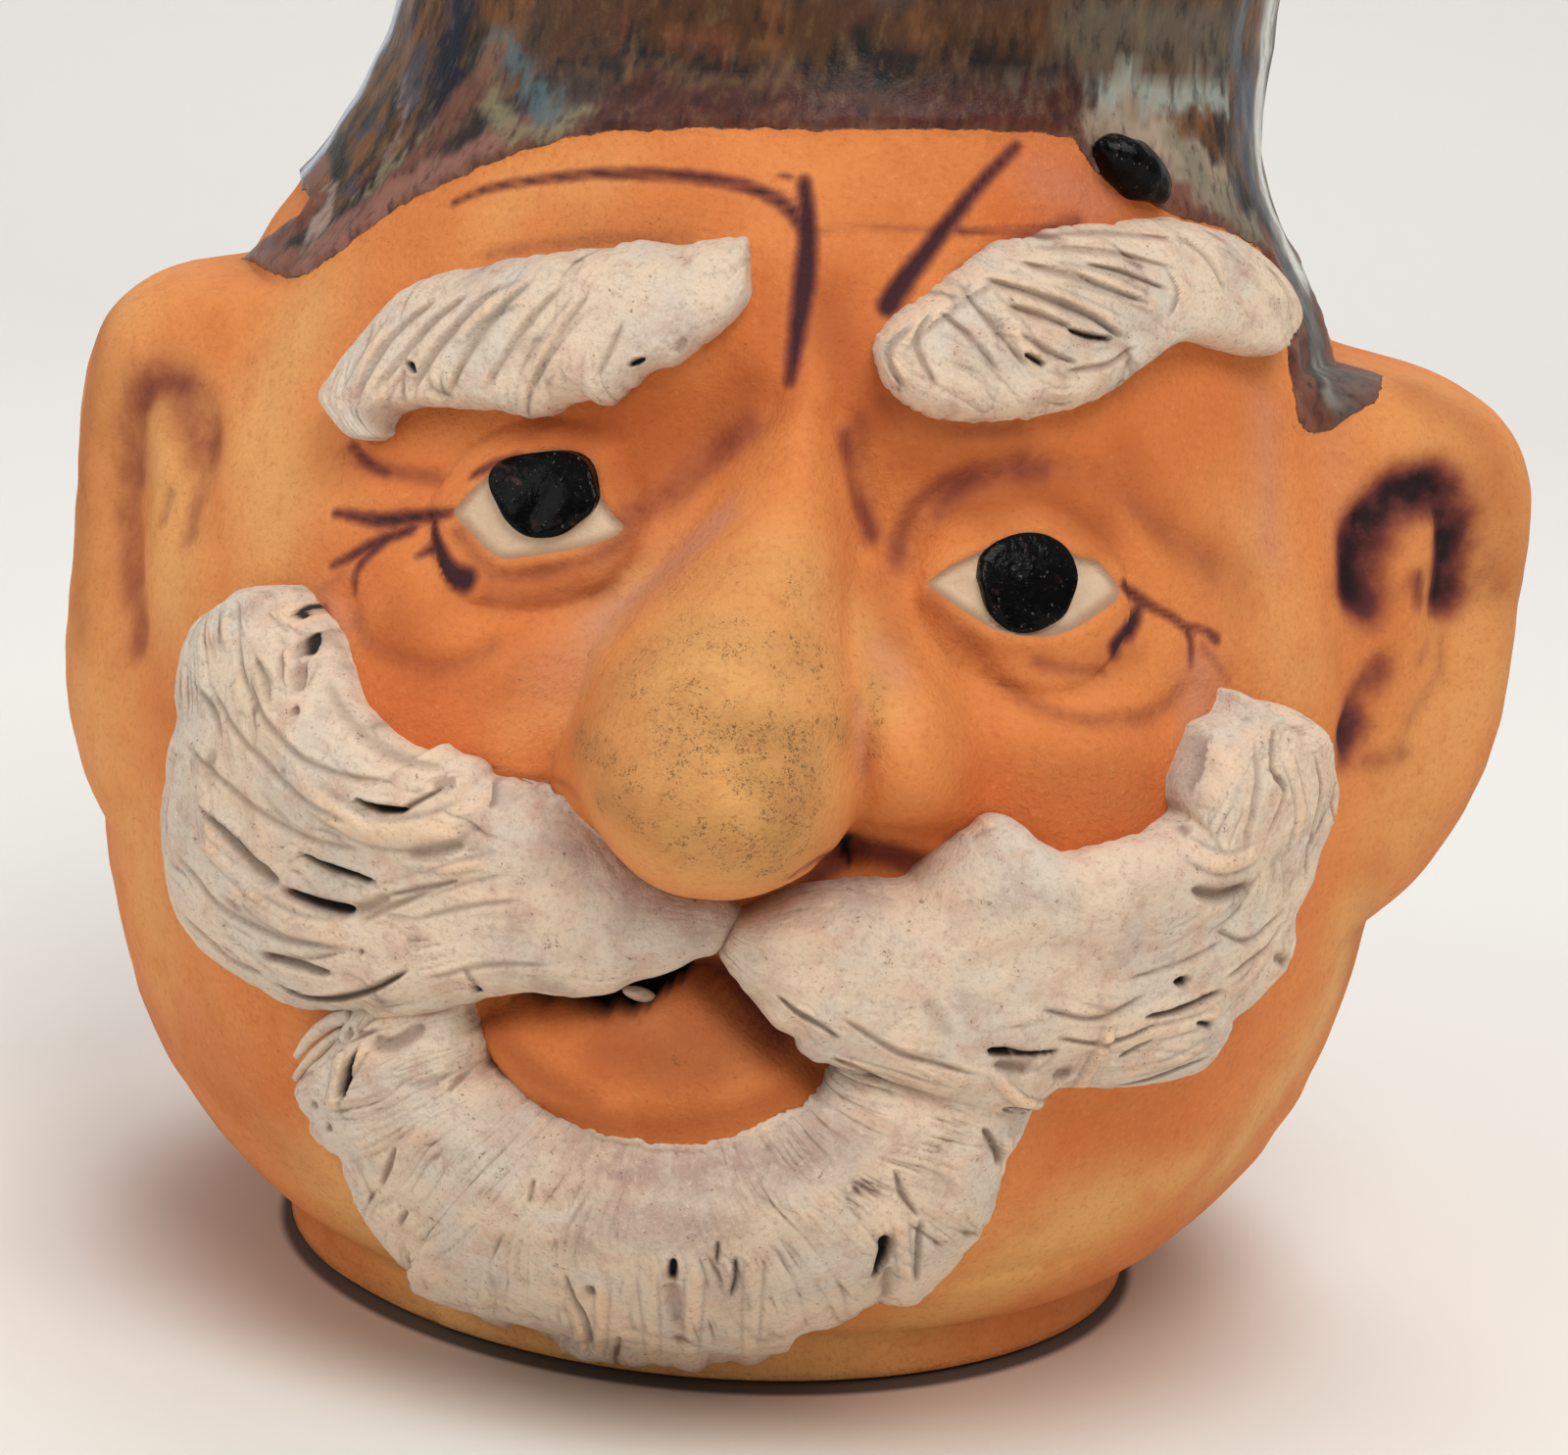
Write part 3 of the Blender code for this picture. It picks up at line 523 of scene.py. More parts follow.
# Yellow tan where the clay is cleaner
ochres = [
    ([(730, 700), (740, 860)], 9.0, 1.0), ([(800, 600), (830, 780)], 5.0, 0.7),
    ([(110, 300), (80, 560), (100, 760)], 7.0, 0.55), ([(1460, 400), (1530, 600), (1440, 830)], 7.0, 0.6),
    ([(140, 850), (160, 960)], 5.0, 0.6), ([(310, 330), (270, 440), (290, 560)], 5.0, 0.75),
    ([(170, 440), (180, 600)], 5.0, 0.8), ([(640, 590), (600, 690)], 2.6, 0.7),
    ([(170, 1010), (250, 1090)], 4.5, 0.6), ([(520, 215), (600, 200)], 3.5, 0.5),
    ([(520, 750), (560, 730)], 3.0, 0.5),
    ([(330, 1200), (460, 1330), (720, 1400), (960, 1340), (1130, 1230)], 6.0, 1.0),
    ([(1380, 940), (1350, 1040), (1260, 1180)], 4.5, 0.9), ([(1100, 1230), (1200, 1200)], 4.0, 0.8),
    ([(880, 640), (900, 720)], 2.5, 0.6), ([(1270, 560), (1320, 680)], 5.0, 0.4)]
# Pale mauve, painted sheen and shade, beside the nose, on the lip and on the cheeks
mauveSheenAndShade = [
    ([(735, 530), (660, 600), (610, 640)], 1.6, 0.8), ([(700, 560), (620, 640), (570, 690)], 2.6, 0.45),
    ([(1226, 690), (1225, 740)], 2.0, 0.7), ([(640, 1050), (720, 1060), (780, 1050)], 2.6, 0.25),
    ([(1070, 185), (1120, 205)], 2.6, 0.5), ([(875, 720), (880, 790)], 0.7, 0.6),
    ([(330, 620), (345, 640)], 1.8, 0.5), ([(900, 660), (912, 690)], 1.3, 0.5),
    ([(1290, 420), (1300, 560)], 2.2, 0.45), ([(1360, 440), (1370, 520)], 2.2, 0.25)]
# Brown shade in the hollows
shades = [
    ([(560, 452), (640, 436), (700, 430)], 2.6, 0.5), ([(640, 480), (720, 440), (765, 400)], 2.6, 0.7),
    ([(840, 310), (860, 360), (900, 420)], 2.6, 0.75), ([(800, 400), (812, 350)], 2.0, 0.4),
    ([(930, 470), (980, 470), (1040, 468)], 2.6, 0.6), ([(1000, 520), (1060, 505), (1120, 540)], 2.2, 0.75),
    ([(1150, 470), (1200, 540), (1260, 590)], 2.4, 0.45),
    ([(640, 560), (600, 590), (520, 604), (470, 590)], 1.5, 0.6),
    ([(950, 620), (1000, 668), (1090, 680), (1150, 665)], 1.5, 0.55), ([(900, 600), (915, 650)], 1.6, 0.35),
    ([(400, 640), (440, 690), (520, 690)], 2.4, 0.4),
    ([(560, 1130), (650, 1150), (760, 1135), (850, 1090)], 1.6, 0.8),
    ([(500, 1045), (540, 1090), (600, 1130)], 1.6, 0.8),
    ([(700, 1060), (780, 1080), (840, 1095)], 2.2, 0.7), ([(560, 1045), (650, 1055)], 1.8, 0.4),
    ([(620, 1070), (700, 1085), (780, 1070)], 2.6, 0.7), ([(270, 730), (300, 600)], 1.6, 0.3),
    ([(1080, 800), (1160, 800)], 3.0, 0.3), ([(1400, 900), (1375, 1000)], 2.6, 0.25),
    ([(150, 1040), (230, 1120), (300, 1180)], 3.0, 0.25), ([(100, 330), (85, 480), (88, 640)], 2.6, 0.6),
    ([(1450, 400), (1515, 455), (1540, 600)], 3.0, 0.5), ([(630, 720), (640, 820)], 3.0, 0.15)]
# Painted dark red shade where the lip turns in under the moustache, and under the nose's wing
underEdgeShades = [
    ([(690, 985), (735, 988), (764, 1014), (794, 1054)], 1.5, 1.0),
    ([(720, 1010), (750, 1040), (780, 1066)], 1.6, 0.55),
    ([(838, 890), (862, 880), (884, 872), (912, 878), (930, 884)], 0.9, 0.75)]
# Dense dark grit: pixels, radius in mm, amount
grits = [
    ([(588, 752), (626, 778)], 1.3, 0.75), ([(612, 815), (646, 835)], 1.2, 0.75),
    ([(740, 745), (815, 765), (800, 850)], 2.6, 1.0), ([(765, 790), (810, 820)], 1.8, 1.0),
    ([(838, 738), (862, 750)], 1.0, 0.8), ([(893, 690), (893, 768)], 0.7, 0.5),
    ([(640, 690), (720, 650), (830, 680)], 3.4, 0.5), ([(640, 800), (700, 850), (800, 880)], 3.6, 0.6),
    ([(700, 720), (690, 800)], 3.4, 0.75), ([(700, 590), (830, 600)], 3.6, 0.3),
    ([(690, 1090), (760, 1080)], 3.0, 0.3), ([(600, 240), (700, 236)], 2.6, 0.3),
    ([(1060, 800), (1160, 820)], 3.0, 0.25)]
# Soft colour in the glaze: pixels, radius in mm, colour, amount
paints = [
    ([(590, 30), (700, 25), (860, 28), (1000, 30), (1100, 25)], 3.6, (74, 45, 25), 1.0),
    ([(640, 78), (720, 84), (800, 84)], 1.3, (104, 74, 50), 0.9),
    ([(1045, 90), (1105, 82)], 1.2, (112, 104, 92), 0.8),
    ([(600, 112), (700, 108), (860, 110), (1000, 110), (1110, 114)], 1.9, (66, 30, 23), 1.0),
    ([(650, 120), (760, 122), (900, 124), (1080, 128)], 0.8, (90, 44, 33), 0.8),
    ([(1110, 30), (1180, 30), (1240, 40)], 3.0, (92, 80, 66), 1.0),
    ([(1130, 95), (1190, 96), (1245, 100)], 1.4, (164, 172, 162), 0.85),
    ([(1130, 140), (1190, 150), (1240, 190)], 2.4, (184, 162, 140), 0.9),
    ([(1200, 150), (1240, 200), (1280, 235)], 1.5, (122, 116, 96), 0.9),
    ([(1150, 168), (1200, 196)], 1.2, (124, 70, 58), 0.7),
    ([(470, 0), (462, 50), (455, 100)], 2.4, (8, 16, 38), 1.0),
    ([(430, 60), (420, 110)], 1.6, (64, 76, 92), 0.8),
    ([(515, 50), (540, 80), (565, 112)], 1.5, (78, 100, 104), 0.9),
    ([(500, 60), (505, 100), (520, 132), (560, 138), (590, 118)], 1.2, (132, 120, 92), 0.9),
    ([(505, 70), (470, 112), (430, 160), (395, 200)], 1.5, (112, 70, 56), 0.9),
    ([(500, 46), (450, 100), (420, 145), (362, 222)], 0.6, (22, 22, 30), 0.9),
    ([(440, 130), (410, 160), (375, 200)], 0.8, (138, 126, 98), 0.8),
    ([(500, 150), (420, 192), (330, 258), (312, 272)], 1.5, (148, 100, 88), 0.9),
    ([(415, 80), (402, 160)], 0.7, (168, 140, 130), 0.6),
    ([(340, 200), (330, 235)], 1.2, (190, 162, 148), 0.8),
    ([(1262, 0), (1262, 90), (1272, 160), (1296, 240), (1330, 330)], 1.0, (84, 104, 112), 0.8),
    ([(1318, 270), (1335, 330), (1352, 390), (1370, 415)], 1.6, (92, 88, 84), 0.9),
    ([(1322, 300), (1330, 400)], 0.6, (40, 40, 44), 0.8),
    ([(1375, 400), (1400, 385)], 1.4, (104, 80, 74), 0.8),
    ([(1340, 360), (1352, 400)], 0.6, (150, 152, 140), 0.6),
    ([(560, 68), (620, 64), (700, 66), (800, 62), (880, 66), (980, 62), (1090, 58)], 0.75, (20, 16, 16),
     0.85),
    ([(645, 40), (655, 62)], 1.1, (18, 16, 18), 0.9), ([(862, 56), (900, 60)], 1.3, (16, 14, 14), 0.95),
    ([(980, 50), (1010, 58)], 1.0, (22, 18, 18), 0.8), ([(632, 20), (636, 50)], 0.7, (110, 60, 40), 0.7),
    ([(690, 30), (735, 45)], 0.9, (118, 64, 40), 0.6), ([(780, 20), (790, 50)], 0.9, (120, 76, 42), 0.6),
    ([(930, 20), (945, 44)], 0.9, (116, 74, 44), 0.6), ([(1050, 20), (1060, 50)], 0.8, (104, 68, 44), 0.6)]
# Pale painted sheen at both sides of the neck, partly thin glaze and partly a painted reflection:
# as angle and level, then the same
sheens = [
    ([(-76, 126), (-76, 112), (-77, 102), (-78, 93)], 2.9, (206, 214, 226), 0.95),
    ([(77, 126), (77, 112), (77, 102), (76, 93)], 2.9, (224, 226, 220), 0.95)]
# Grooves: pixels, half width and depth in mm; a negative depth is a ridge
grooves = [
    ([(468, 543), (490, 572), (514, 589), (560, 583), (604, 568), (639, 545)], 0.8, 0.35),
    ([(500, 614), (560, 612), (621, 600)], 1.2, 0.25),
    ([(352, 615), (357, 629), (371, 657), (418, 679), (461, 682), (500, 657), (530, 640)], 1.0, 0.6),
    ([(919, 580), (948, 527), (992, 494), (1051, 477), (1109, 482), (1153, 509), (1197, 553), (1241, 582)],
     1.3, 0.55),
    ([(985, 660), (1012, 688), (1051, 719), (1095, 737), (1139, 740), (1183, 734), (1212, 709)], 1.0, 0.6),
    ([(1040, 668), (1059, 676), (1124, 686)], 0.7, 0.25),
    ([(350, 450), (379, 477), (443, 489), (479, 484)], 0.9, 0.4),
    ([(460, 525), (430, 527), (390, 527), (346, 523)], 0.7, 0.3),
    ([(436, 532), (446, 560), (470, 590)], 0.7, 0.3), ([(412, 538), (375, 558), (339, 578)], 0.6, 0.25),
    ([(1148, 599), (1168, 618), (1213, 645)], 0.5, 0.3), ([(800, 238), (880, 232), (990, 240)], 0.7, 0.22),
    ([(822, 190), (824, 235), (806, 390)], 1.0, 0.2), ([(1040, 150), (960, 240), (907, 313)], 0.9, 0.25),
    ([(866, 610), (868, 700), (878, 790), (884, 845)], 0.8, 0.5),
    ([(856, 440), (866, 500), (886, 565), (880, 640), (870, 710)], 0.9, -0.45),
    ([(1100, 1283), (1030, 1300), (963, 1310)], 0.7, 0.5),
    ([(310, 1240), (360, 1300), (440, 1345)], 0.7, 0.4),
    ([(500, 1035), (585, 1023), (622, 1031), (663, 1007), (684, 999)], 0.9, 0.9),
    ([(862, 862), (872, 874)], 1.0, 1.6), ([(174, 505), (166, 530)], 0.8, 0.4),
    ([(135, 470), (133, 425), (165, 388), (206, 424), (212, 465)], 1.7, 0.6),
    ([(131, 500), (137, 600), (138, 660)], 1.5, 0.5), ([(170, 440), (172, 520), (168, 600)], 2.2, -0.4),
    ([(100, 420), (96, 520), (100, 640)], 1.8, -0.3), ([(240, 420), (246, 500)], 2.0, -0.3),
    ([(1392, 600), (1396, 540), (1440, 502), (1480, 510), (1488, 560), (1482, 604)], 1.9, 1.2),
    ([(1377, 748), (1392, 720), (1414, 684)], 1.5, 0.8),
    ([(1440, 640), (1438, 590), (1446, 545)], 1.8, -0.5),
    ([(1470, 630), (1474, 690), (1440, 760)], 1.4, 0.3),
    ([(1525, 480), (1535, 600), (1500, 720)], 2.0, -0.3),
    ([(600, 470), (660, 452), (720, 438), (760, 410)], 2.4, 1.1),
    ([(640, 510), (690, 488), (735, 458)], 1.5, 0.5), ([(864, 440), (880, 500), (905, 550)], 1.6, 0.8),
    ([(940, 545), (960, 510), (1000, 492)], 1.6, 0.6),
    ([(925, 650), (965, 700), (1010, 768), (1022, 812)], 1.5, 0.25),
    ([(580, 690), (560, 760), (575, 830)], 1.6, 0.3), ([(812, 893), (835, 880), (858, 870)], 0.6, 0.7),
    ([(876, 868), (905, 872), (938, 884)], 0.8, 0.9)]
mouthGap = [
    (520, 1022), (560, 1026), (584, 1030), (604, 1034), (628, 1037), (654, 1034), (668, 1025), (684, 1011),
    (698, 1002), (708, 986), (690, 972), (640, 982), (580, 998), (530, 1008)]
nostril = [(851, 867), (860, 859), (877, 860), (875, 872), (877, 880), (868, 886), (862, 879), (858, 872)]

body = {
    "steps": 392, "faceRings": 186, "neckRings": 12, "insideRings": 18, "glazeThick": 0.35,
    "pupilThick": 0.3, "lidDepth": 0.35, "uneven": 0.16}


def frontCrowding(turn):
    # even turns to turns that lie closer together in front
    grid = np.linspace(-math.pi, math.pi, 1441)
    away = np.abs(np.degrees(grid))
    spacing = 0.3 + 0.5 * smoothStep((away - 52.0) / 30.0) + 2.6 * smoothStep((away - 92.0) / 35.0)
    run = np.concatenate([[0.0], np.cumsum(0.5 * (1.0 / spacing[1:] + 1.0 / spacing[:-1]))])
    return np.interp((turn + math.pi) / (2.0 * math.pi), run / run[-1], grid)


def bodyProfile(b):
    # outside from the middle of the underside up to the rim, then down the inside to the middle of the floor
    foot = [(0.0, 0.0), (16.0, 0.0), (30.0, 0.0), (32.6, 0.0), (33.3, 0.12)]
    crowding = np.linspace(4.0, 96.0, 400)
    rate = (1.0 + 0.7 * np.exp(-((crowding - 66.0) / 16.0) ** 2)
            + 0.3 * np.exp(-((crowding - 37.0) / 6.0) ** 2))
    run = np.concatenate([[0.0], np.cumsum(rate[1:])])
    heights = np.concatenate([[0.5, 1.2, 2.0, 3.0],
                              np.interp(np.linspace(0.0, run[-1], b["faceRings"]), run, crowding),
                              np.linspace(96.0, 112.0, b["neckRings"] + 1)[1:]])
    outside = [(float(potRadius(z)), float(z)) for z in heights]
    rim = pot["neckRadius"] + pot["rimFlare"]
    middle, half = rim - 0.5 * pot["wall"], 0.5 * pot["wall"]
    lip = [(middle + half * math.cos(a), 111.6 + 2.4 * math.sin(a))
           for a in np.linspace(0.15, math.pi - 0.15, 13)]
    levels = np.linspace(pot["footHeight"], 111.0, 300)
    radii = potRadius(levels)
    slope = np.gradient(radii) / np.gradient(levels)
    length = np.hypot(slope, 1.0)
    innerRadius, innerHeight = radii - pot["wall"] / length, levels + pot["wall"] * slope / length
    down = np.linspace(110.5, pot["floor"] + 2.0, b["insideRings"])
    inside = [(float(np.interp(z, innerHeight, innerRadius)), float(z)) for z in down]
    low = inside[-1][0]
    floor = [(low - 1.5, pot["floor"] + 0.6), (low - 4.0, pot["floor"]), (low * 0.5, pot["floor"]),
             (0.0, pot["floor"])]
    return foot + outside, lip, inside + floor


def turnBody(b):
    outside, lip, inside = bodyProfile(b)
    shape = bmesh.new()
    outer = shape.verts.layers.float.new("outer")
    line = [shape.verts.new((0.0, -r, z)) for r, z in outside + lip + inside]
    for number, corner in enumerate(line):
        corner[outer] = 1.0 if number < len(outside) else 0.0
    edges = [shape.edges.new(pair) for pair in zip(line[:-1], line[1:])]
    bmesh.ops.spin(shape, geom=line + edges, cent=(0, 0, 0), axis=(0, 0, 1), angle=2.0 * math.pi,
                   steps=b["steps"], use_merge=True)
    poles = [v for v in shape.verts if v.co.x ** 2 + v.co.y ** 2 < 1e-4]
    bmesh.ops.remove_doubles(shape, verts=poles, dist=1e-3)
    bmesh.ops.recalc_face_normals(shape, faces=shape.faces)
    return meshOf("mug_body", shape)


def softMarks(places, marks):
    total = np.zeros(len(places))
    for pixels, radius, amount in marks:
        gap = gapToLine(places, drawn(pixels, 12), 3.0 * radius)
        total = np.maximum(total, amount * np.exp(-(gap / radius) ** 2))
    return total


def signedArea(places, spots, pixels):
    # mm inside a closed outline drawn on the picture, negative outside
    outline = spread(list(pixels) + [pixels[0]], 60)
    flat = seen(outline)
    gap = gapToLine(places, onHead(flat[:, 0], flat[:, 1], headForm(flat[:, 0], flat[:, 1])), 4.0)
    return np.where(within(spots, flat), gap, -gap)


def glazeEdge():
    # the lower edge of the glaze once round and a little more, as angle and level
    front = seen(spread(hairline, 120))
    drips = [
        (80, 91), (90, 92), (98, 90), (105, 84), (111, 68), (117, 58), (124, 66), (133, 70), (142, 57),
        (150, 47), (158, 52), (168, 64), (178, 60), (188, 49), (197, 45), (206, 56), (216, 66), (226, 62),
        (234, 54), (243, 60), (252, 76), (260, 89), (270, 92), (284, 92), (294, 91)]
    back = spread([tuple(front[-1])] + drips + [(front[0][0] + 360.0, front[0][1])], 240)
    return np.vstack([back - (360.0, 0.0), front, back])


def shapeBody(mesh, b):
    places = readPlaces(mesh)
    outer = np.empty(len(places), np.float32)
    mesh.attributes["outer"].data.foreach_get("value", outer)
    turn = frontCrowding(np.arctan2(places[:, 0], -places[:, 1]))
    radius, height = np.hypot(places[:, 0], places[:, 1]), places[:, 2]
    pressed = (outer > 0.5) & (height > 0.3)
    angle, level = np.degrees(turn), height / levelHeight
    out = np.where(pressed, headForm(angle, level), 0.0)
    skin = np.flatnonzero(pressed)
    base = onHead(angle[skin], level[skin], out[skin])
    spots = np.column_stack([angle[skin], level[skin]])
    amounts = {}

    # hand-made unevenness and grooves
    change = b["uneven"] * wander(base, 14.0, 3) + 0.06 * wander(base, 4.0, 4)
    change *= smoothStep((height[skin] - 2.0) / 6.0) * smoothStep((112.0 - height[skin]) / 6.0)
    for pixels, half, depth in grooves:
        change -= depth * np.exp(-(gapToLine(base, drawn(pixels, 14), 3.0 * half) / half) ** 2)

    # eyes: lids round a sunken white, with a raised black pupil
    white, pupil = np.full(len(skin), -9.0), np.full(len(skin), -9.0)
    for eye in eyes.values():
        lids, dot = signedArea(base, spots, eye["lids"]), signedArea(base, spots, eye["pupil"])
        change += 0.3 * np.exp(-((lids + 0.45) / 0.5) ** 2) * (lids < 0.3)
        change -= b["lidDepth"] * smoothStep((lids + 0.1) / 0.5)
        change += b["pupilThick"] * smoothStep((dot + 0.05) / 0.4)
        white, pupil = np.maximum(white, lids), np.maximum(pupil, dot)
    gap = signedArea(base, spots, mouthGap)
    hole = signedArea(base, spots, nostril)
    change -= 1.6 * smoothStep((gap + 0.2) / 0.6)

    # glaze: mm above its lower edge
    line = glazeEdge()
    above = within(spots, np.vstack([line, [(line[-1][0], 150.0), (line[0][0], 150.0)]]))
    around = line[(line[:, 0] > -185.0) & (line[:, 0] < 185.0)]
    glaze = gapToLine(base, onHead(around[:, 0], around[:, 1], headForm(around[:, 0], around[:, 1])))
    glaze = np.where(above, glaze, -glaze) + 0.1 * wander(base, 2.2, 5)
    roll = 0.25 * np.exp(-((glaze - 0.7) / 0.7) ** 2)
    nearRim = smoothStep((115.0 - height[skin]) / 4.0)
    change += b["glazeThick"] * smoothStep((glaze + 0.05) / 0.6) * nearRim + roll

    out[skin] += change
    radius = radius + out
    moved = np.stack([radius * np.sin(turn) + leanShift(height), -radius * np.cos(turn), height], axis=-1)
    mesh.vertices.foreach_set("co", (moved * mm).ravel())

    ink = np.full(len(skin), -9.0)
    for pixels, widths in strokes:
        gap3d, share, side = nearLine(base, drawn(pixels, 21), 2.5)
        ink = np.maximum(ink, np.interp(share, [0.0, 0.5, 1.0], widths) - gap3d)
    amounts["ink"], amounts["white"], amounts["pupil"] = np.maximum(ink, -9.0), white, pupil
    amounts["glaze"] = glaze
    # painted shade: the mouth's gap and the nostril coloured near black where they go in
    amounts["dark"] = np.maximum(smoothStep((gap + 0.1) / 0.35), smoothStep((hole + 0.1) / 0.3))
    for name, marks in (("stainAndShade", stainsAndCreaseShade), ("blushAndShade", blushesAndHollowShade), ("ochre", ochres), ("mauve", mauveSheenAndShade),
                        ("grit", grits), ("shade", shades), ("inside", underEdgeShades)):
        amounts[name] = softMarks(base, marks)

    # colour in the glaze, its edges pulled about and run down a little
    pulled = base + np.column_stack([0.5 * wander(base, 3.0, seed) for seed in (51, 52, 53)])
    pulled += np.column_stack([0.35 * wander(base * (1.6, 1.6, 0.5), 1.2, seed) for seed in (54, 55, 56)])
    tint, cover = np.tile((0.08, 0.05, 0.035), (len(skin), 1)), np.zeros(len(skin))
    tracks = [drawn(pixels, 12) for pixels, *rest in paints]
    # painted sheen along both sides of the neck
    for way, *rest in sheens:
        turns, heights = spread(way, 14).T
        tracks.append(onHead(turns, heights, headForm(turns, heights)))
    for track, (way, radius, color, amount) in zip(tracks, paints + sheens):
        share = amount * np.exp(-(gapToLine(pulled, track, 3.0 * radius) / radius) ** 4)
        tint += (np.array(srgb(*color)[:3]) - tint) * share[:, None]
        cover = cover + (1.0 - cover) * share
    paint = np.zeros((len(places), 4))
    paint[skin, :3], paint[skin, 3] = tint, cover
    layer = mesh.attributes.new("paint", "FLOAT_COLOR", "POINT")
    layer.data.foreach_set("color", paint.astype(np.float32).ravel())
    outsideValue = {"ink": -9.0, "white": -9.0, "pupil": -9.0, "glaze": 9.0}
    for name, values in amounts.items():
        whole = np.full(len(places), outsideValue.get(name, 0.0))
        whole[skin] = values
        if name == "glaze":
            whole = np.where((outer > 0.5) & (height <= 0.3), -9.0, whole)
        storeAmount(mesh, name, whole)
    mesh.attributes.remove(mesh.attributes["outer"])


